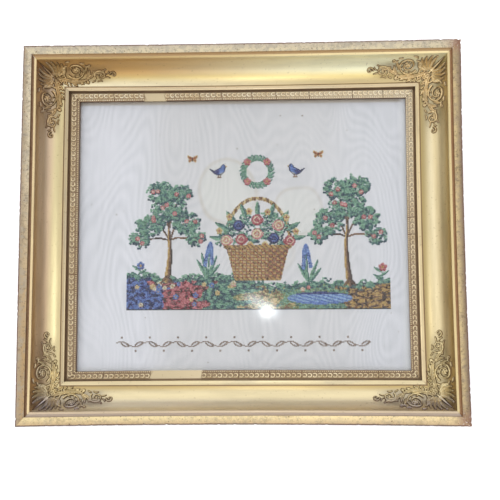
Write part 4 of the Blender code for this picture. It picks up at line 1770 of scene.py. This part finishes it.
    def bank(self) -> None:
        """Paint the flowered bank with its pond, straight along its lower edge."""
        beds = ((14, Dye.PERIWINKLE, Dye.VIOLET, Dye.NAVY), (58, Dye.PINK, Dye.ROSE, Dye.UMBER),
                (104, Dye.GRASS, Dye.TEAL, Dye.FOREST), (146, Dye.TAN, Dye.MOSS, Dye.BROWN),
                (196, Dye.GRASS, Dye.MOSS, Dye.TEAL), (262, Dye.OCHRE, Dye.BROWN, Dye.UMBER))
        for column in range(self.columns):
            top = self.bank_top(column)
            for row in range(round(top)):
                here = Vector((column * 0.21, row * 0.29, 2.0))
                pair = random.Random(column // 2 * 977 + row * 31).uniform(-0.42, 0.42)
                lump = noise.noise(here) + pair
                drift = column + 34 * noise.noise(Vector((column * 0.05, row * 0.12, 8.0)))
                bed = min(beds, key=lambda one: abs(one[0] - drift))
                if top - row < 3.0:
                    dye = Dye.GRASS if lump > -0.1 else Dye.TEAL
                elif row < 1:
                    dye = Dye.UMBER if lump > -0.1 else Dye.FOREST
                else:
                    dye = bed[1] if lump > 0.08 else bed[2] if lump > -0.2 else bed[3]
                self.dot(column, row, dye)
        self.disc((206, 11.5), (34, 6.5), lambda dx, dy: Dye.VIOLET if dy > 4.4 else Dye.PERIWINKLE if
                  math.sin(dx * 0.5 + dy * 1.9) > 0.1 or dy < -3.5 else Dye.SKY)
        for at in range(34):
            column = 3 + at * (self.columns - 6) / 33 + self.draw.uniform(-2, 2)
            spot = (column, self.bank_top(column) - self.draw.uniform(0, 3))
            self.foliage(spot, self.draw.uniform(3, 6.5), 5)
        for _ in range(36):
            column = self.draw.uniform(4, self.columns - 4)
            row = self.draw.uniform(4, self.bank_top(column) - 4)
            if abs(column - 206) > 38 or row > 20:
                bloom, edge = self.draw.choice([(Dye.PINK, Dye.ROSE), (Dye.CREAM, Dye.PINK),
                                                (Dye.PERIWINKLE, Dye.VIOLET), (Dye.TAN, Dye.OCHRE)])
                self.blossom((column, row), self.draw.uniform(2.0, 3.0), bloom, edge, Dye.OCHRE)

    def weave(self, foot: Point, half: float, height: int) -> None:
        """Paint a basket's woven side, wider at its rim.

        Args:
            foot: the middle of its foot.
            half: its half width at the foot.
            height: how many rows it has.
        """
        for row in range(height):
            reach = half + row * 0.26 + 2.5 * (row >= height - 4)
            for column in range(-round(reach), round(reach) + 1):
                woven = (column // 4 + row // 3) % 2 == 0
                lit = column < reach * 0.35
                if row >= height - 4 or row < 3:
                    dye = Dye.BROWN if (column + row) % 5 < 2 else Dye.OCHRE
                elif row % 3 == 0 or column % 4 == 0:
                    dye = Dye.RUST if woven else Dye.BROWN
                elif woven:
                    dye = Dye.TAN if lit else Dye.OCHRE
                else:
                    dye = Dye.OCHRE if lit else Dye.BROWN
                dye = Dye.UMBER if self.draw.random() < 0.05 else dye
                self.dot(foot[0] + column, foot[1] + row, dye)

    def basket(self, foot: Point) -> None:
        """Paint a woven basket of roses standing at a point."""
        for step in range(61):
            angle = math.pi * step / 60
            spot = around((foot[0], foot[1] + 38), (35, 50), angle)
            twist = (Dye.OCHRE, Dye.BROWN) if step % 4 < 2 else (Dye.BROWN, Dye.TAN)
            self.line([spot, spot], twist, 1.9)
        spots = []
        for _ in range(150):
            angle, reach = self.draw.uniform(0, math.pi), math.sqrt(self.draw.random())
            spots.append(around((foot[0], foot[1] + 36), (43 * reach, 38 * reach), angle))
        for spot in sorted(spots, key=lambda at: -at[1]):
            self.clump(spot, self.draw.uniform(2.4, 4.2))
        for at in range(9):
            angle = math.pi * (0.06 + 0.11 * at)
            rim = (foot[0], foot[1] + 38)
            self.leaf(around(rim, (36, 30), angle), around(rim, (52, 46), angle), 2.2)
        key = {"r": Dye.ROSE, "p": Dye.PINK, "c": Dye.CREAM}
        pale = {"r": Dye.PINK, "p": Dye.CREAM, "c": Dye.TAN}
        blue = {"r": Dye.NAVY, "p": Dye.VIOLET, "c": Dye.PERIWINKLE}
        for dx, dy, colours in ((-33, 42, pale), (33, 41, key), (-20, 58, blue), (21, 58, pale),
                                (-17, 43, key), (16, 44, blue), (0, 64, key), (0, 49, pale)):
            self.motif(ROSE_MOTIF, (foot[0] + dx, foot[1] + dy), colours, flip=dx > 0)
        for dx, dy in ((-41, 53), (41, 52), (-9, 74), (11, 73), (-30, 68), (31, 67), (-8, 38), (8, 38)):
            self.blossom((foot[0] + dx, foot[1] + dy), 3.4, Dye.TAN, Dye.OCHRE, Dye.RUST)
        self.weave(foot, 24.0, 38)

    def wreath(self, centre: Point, radius: float) -> None:
        """Paint a wreath of leaves with four flowers."""
        for at in range(26):
            angle = 2 * math.pi * at / 26
            here = around(centre, (radius, radius), angle)
            for aside in (0.75, -0.65):
                self.leaf(here, around(here, (5, 5), angle + math.pi / 2 + aside), 1.0)
        for at in range(4):
            spot = around(centre, (radius, radius), math.pi * (0.25 + 0.5 * at))
            self.blossom(spot, 3.8, Dye.PINK, Dye.ROSE, Dye.OCHRE)

    def garden(self) -> "Chart":
        """Paint the whole garden picture and return the chart."""
        self.bank()
        self.tree((43, 31), 54, 3.0, ((-20, 6, 14), (19, 8, 14), (0, 24, 17), (-31, -10, 10), (29, -9, 9),
                                      (-9, 41, 13), (13, 39, 11)))
        self.tree((238, 27), 62, -3.5, ((-20, 4, 15), (19, 8, 14), (0, 24, 18), (31, -11, 10),
                                        (-31, -11, 9), (10, 43, 13), (-13, 40, 11)))
        self.hyacinth((86, 33), 34, 3.0)
        self.hyacinth((194, 28), 36, -3.0)
        self.sprig((12, 30), 17, Dye.PERIWINKLE, Dye.VIOLET)
        self.sprig((270, 26), 18, Dye.PINK, Dye.ROSE)
        self.basket((140, 31))
        self.wreath((140, 148), 15)
        bird = {"n": Dye.NAVY, "p": Dye.PERIWINKLE, "v": Dye.VIOLET, "x": Dye.UMBER, "o": Dye.OCHRE,
                "c": Dye.CREAM, "b": Dye.BROWN}
        self.motif(BIRD_MOTIF, (98, 148), bird)
        self.motif(BIRD_MOTIF, (182, 148), bird, flip=True)
        wings = {"o": Dye.OCHRE, "r": Dye.RUST, "b": Dye.UMBER}
        for spot in ((70, 162), (206, 166)):
            self.motif(BUTTERFLY_MOTIF, spot, wings)
        return self

    def vine(self) -> "Chart":
        """Paint a running vine, its leaves and berries on alternate sides, and return the chart."""
        middle, swing, period = self.rows / 2, 2.6, 30.0
        for x in range(3, self.columns - 3):
            self.dot(x, middle + swing * math.sin(2 * math.pi * x / period), Dye.SEPIA)
        for at in range(int(self.columns * 2 / period)):
            x = (at + 0.5) * period / 2
            up = 1 if at % 2 else -1
            foot = (x, middle + swing * math.sin(2 * math.pi * x / period))
            self.open_leaf(foot, (foot[0] + 8.5, foot[1] + up * 5.4), 1.7)
            self.disc((foot[0] + 1.0, foot[1] - up * 4.4), (1.0, 1.0), lambda _dx, _dy: Dye.SEPIA)
        return self

    def open_leaf(self, root: Point, tip: Point, width: float) -> None:
        """Paint a leaf's outline in the vine's colour."""
        along, up = tip[0] - root[0], tip[1] - root[1]
        length = math.hypot(along, up)
        for step in range(25):
            share = step / 24
            half = width * math.sin(math.pi * share)
            x, y = root[0] + along * share, root[1] + up * share
            for aside in (-half, half):
                self.dot(x - up * aside / length, y + along * aside / length, Dye.SEPIA)


@dataclass
class StretchedSilk:
    """The watered silk, stretched over the board, and the surface that its stitches lie on."""

    width: float = 398.6
    length: float = 330.6
    top: float = 9.0
    thickness: float = 0.45
    ripple: float = 0.1
    columns: int = 100
    rows: int = 84

    def height(self, x: float, y: float) -> float:
        """Give the height of the silk's face at a point, in millimetres."""
        pull = noise.noise(Vector((x * 0.012, y * 0.02, 3.0)))
        pucker = noise.noise(Vector((x * 0.05, y * 0.035, 6.0)))
        return self.top + self.ripple * (pull * 0.7 + pucker * 0.3)

    def build(self) -> bpy.types.Object:
        """Build the silk as one closed sheet and return it."""
        bm = bmesh.new()
        bmesh.ops.create_grid(bm, x_segments=self.columns, y_segments=self.rows, size=0.5)
        for vert in bm.verts:
            x, y = vert.co.x * self.width, vert.co.y * self.length
            vert.co = Vector((x, y, self.height(x, y))) * MM
        bmesh.ops.solidify(bm, geom=bm.faces[:], thickness=self.thickness * MM)
        bmesh.ops.recalc_face_normals(bm, faces=bm.faces[:])
        mesh = Maker.finish_mesh(bm, "watered_silk_sheet", 60)
        return Maker.piece("watered_silk_sheet", mesh, [WateredSilk().material()],
                           ["embroidered_cloth"], "watered_silk")


@dataclass
class Needlework:
    """The cross stitches, one mesh for each thread colour."""

    silk: StretchedSilk
    pitch: float = 1.1
    thread_wide: float = 0.33
    thread_high: float = 0.25
    lift: float = 0.14
    garden_corner: Point = (-137.0, -89.0)
    garden_size: tuple[int, int] = (281, 175)
    vine_corner: Point = (-152.0, -144.0)
    vine_size: tuple[int, int] = (276, 27)
    vine_seed: int = 5
    tone_seed: int = 3
    strand_step: float = 0.12

    def thread(self, bm: bmesh.types.BMesh, angle: float, base: float) -> None:
        """Model one thread of the cross as a three sided strand with its ridge on top.

        Args:
            bm: the stitch that it belongs to.
            angle: the strand's direction in degrees.
            base: the height of its middle.
        """
        half = self.pitch * math.sqrt(2) * 0.47
        turn = Matrix.Rotation(math.radians(angle), 4, "Z")
        upright = Matrix.Rotation(math.pi / 2, 4, "Y") @ Matrix.Rotation(math.pi / 2, 4, "Z")
        shape = Matrix.Diagonal((self.thread_wide, self.thread_high, 1, 1))
        Maker.sweep(bm, [turn @ Matrix.Translation((half * share, 0, base)) @ upright @ shape
                         for share in (-1.0, 1.0)], 3)

    def stitch_unit(self) -> bpy.types.Mesh:
        """Model one cross stitch in millimetres."""
        bm = bmesh.new()
        self.thread(bm, 45, self.lift)
        self.thread(bm, -45, self.lift + self.strand_step)
        bmesh.ops.recalc_face_normals(bm, faces=bm.faces[:])
        return Maker.finish_mesh(bm, "stitch_unit", 70)

    def places(self, chart: Chart, corner: Point) -> dict[Dye, list[Matrix]]:
        """List where every stitch of a chart goes.

        Args:
            chart: the chart.
            corner: the cloth position of its lower left square.

        Returns:
            The stitches' matrices for each colour.
        """
        draw = random.Random(chart.seed + 1)
        found: dict[Dye, list[Matrix]] = {}
        for (column, row), dye in sorted(chart.squares.items()):
            x = corner[0] + (column + 0.5) * self.pitch + draw.uniform(-0.04, 0.04)
            y = corner[1] + (row + 0.5) * self.pitch + draw.uniform(-0.04, 0.04)
            here = Matrix.Translation((x, y, self.silk.height(x, y)))
            turn = Matrix.Rotation(math.radians(draw.uniform(-5, 5)), 4, "Z")
            found.setdefault(dye, []).append(Matrix.Scale(MM, 4) @ here @ turn)
        return found

    def build(self) -> list[bpy.types.Object]:
        """Build the stitches of both charts and return their pieces."""
        unit = self.stitch_unit()
        garden = self.places(Chart(*self.garden_size).garden(), self.garden_corner)
        vine = self.places(Chart(*self.vine_size, seed=self.vine_seed).vine(), self.vine_corner)
        draw = random.Random(self.tone_seed)
        made = []
        for dye in Dye:
            every = garden.get(dye, []) + vine.get(dye, [])
            if not every:
                continue
            name = f"stitches_{dye.name.lower()}"
            tones = [draw.random() for _ in every]
            mesh = Maker.repeat(unit, np.array(every), name, tones)
            LOG.info("%s: %d stitches", name, len(every))
            made.append(Maker.piece(name, mesh, [ThreadDye(dye.name.lower(), dye.value).material()]))
        return made


@dataclass
class KeptSolids:
    """The solids that keep their own shape and get a better material."""

    def dress(self, name: str, finish: bpy.types.Material) -> None:
        """Put a material on one of the part's own solids."""
        node = bpy.data.objects[name]
        for slot in node.material_slots:
            slot.material = finish

    def build(self) -> None:
        """Dress the glass and the board."""
        self.dress("glass_pane", OldGlass().material())
        self.dress("backing_board", BareWood("old_deal_board").material())


@dataclass
class Studio:
    """The pale floor, the soft light and the camera, which stands where the photo was taken."""

    camera_at: Vector = field(default_factory=lambda: Vector((0.0297, -0.0889, 0.8444)))
    turn_degrees: Triple = (-4.78, -1.46, 0.35)
    focal_pixels: float = 712.3
    picture_pixels: int = 500
    sensor: float = 36.0
    sky_lean: Triple = (-0.1, 0.1, 1.0)
    sky: tuple[Point, ...] = ((0.0, 0.4), (0.22, 0.5), (0.5, 1.3), (0.84, 1.44), (0.94, 1.1), (1.0, 0.95))

    def floor(self) -> None:
        """Lay the floor."""
        bm = bmesh.new()
        bmesh.ops.create_grid(bm, x_segments=1, y_segments=1, size=3.0)
        for vert in bm.verts:
            vert.co.z = -0.0002
        mesh = Maker.finish_mesh(bm, "floor")
        mesh.materials.append(Floor().material())
        floor = bpy.data.objects.new("floor", mesh)
        bpy.context.scene.collection.objects.link(floor)

    def area(self, name: str, at: Vector, size: tuple[float, float], power: float,
             colour: Triple = (1.0, 1.0, 1.0), spin: float = 0.0) -> None:
        """Add a soft light that faces the frame.

        Args:
            name: the light's name.
            at: where it hangs.
            size: its two sides in metres.
            power: its power in watts.
            colour: its colour.
            spin: how far it is turned about its own axis, in degrees.
        """
        light = bpy.data.lights.new(name, "AREA")
        light.shape = "ELLIPSE"
        light.size, light.size_y = size
        light.energy = power
        light.color = colour
        holder = bpy.data.objects.new(name, light)
        holder.location = at
        facing = at.normalized().to_track_quat("Z", "Y").to_matrix()
        turned = facing @ Matrix.Rotation(math.radians(spin), 3, "Z")
        holder.rotation_euler = turned.to_euler()
        bpy.context.scene.collection.objects.link(holder)

    def lights(self) -> None:
        """Hang the lights and set the room's own glow."""
        world = bpy.data.worlds.new("studio")
        world.use_nodes = True
        tree = world.node_tree
        glow = tree.nodes["Background"]
        glow.inputs["Color"].default_value = (0.97, 0.98, 1.0, 1.0)
        way = tree.nodes.new("ShaderNodeTexCoord")
        ramp = tree.nodes.new("ShaderNodeValToRGB")
        ramp.color_ramp.interpolation = "EASE"
        while len(ramp.color_ramp.elements) < len(self.sky):
            ramp.color_ramp.elements.new(0.5)
        for stop, (height, level) in zip(ramp.color_ramp.elements, self.sky):
            stop.position = height
            stop.color = (level, level, level, 1.0)
        lean = tree.nodes.new("ShaderNodeVectorMath")
        lean.operation = "DOT_PRODUCT"
        lean.inputs[1].default_value = self.sky_lean
        tree.links.new(way.outputs["Generated"], lean.inputs[0])
        tree.links.new(lean.outputs["Value"], ramp.inputs[0])
        tree.links.new(ramp.outputs[0], glow.inputs["Strength"])
        bpy.context.scene.world = world
        self.area("flash", self.camera_at + Vector((-0.004, -0.004, 0.012)), (0.012, 0.008), 0.2)
        self.area("flash_streak", self.camera_at + Vector((-0.016, 0.012, 0.012)), (0.09, 0.02), 0.22,
                  (0.78, 0.88, 1.0), -38.0)

    def camera(self) -> None:
        """Set up the camera."""
        data = bpy.data.cameras.new("camera")
        data.sensor_width = self.sensor
        data.lens = self.sensor * self.focal_pixels / self.picture_pixels
        data.clip_start = 0.01
        camera = bpy.data.objects.new("camera", data)
        turn = Vector([math.radians(part) for part in self.turn_degrees])
        world_to_camera = Matrix.Rotation(turn.length, 4, turn.normalized())
        camera.matrix_world = Matrix.Translation(self.camera_at) @ world_to_camera.transposed()
        bpy.context.scene.collection.objects.link(camera)
        bpy.context.scene.camera = camera

    def build(self) -> None:
        """Set the whole stage."""
        self.floor()
        self.lights()
        self.camera()
        bpy.context.scene.view_settings.view_transform = "Standard"


def main() -> None:
    """Build every sub-assembly in order, then the light, the floor and the camera."""
    logging.basicConfig(level=logging.INFO, format="%(name)s: %(message)s")
    sizes = Moulding()
    warp = Warp(sizes)
    rails = Rails(sizes, warp)
    rails.build()
    CornerCastings(sizes, warp).build()
    SightBand(sizes, warp, rails.band_losses).build()
    silk = StretchedSilk()
    cloth = silk.build()
    stitches = Needlework(silk).build()
    KeptSolids().build()
    Studio().build()


if __name__ == "__main__":
    main()
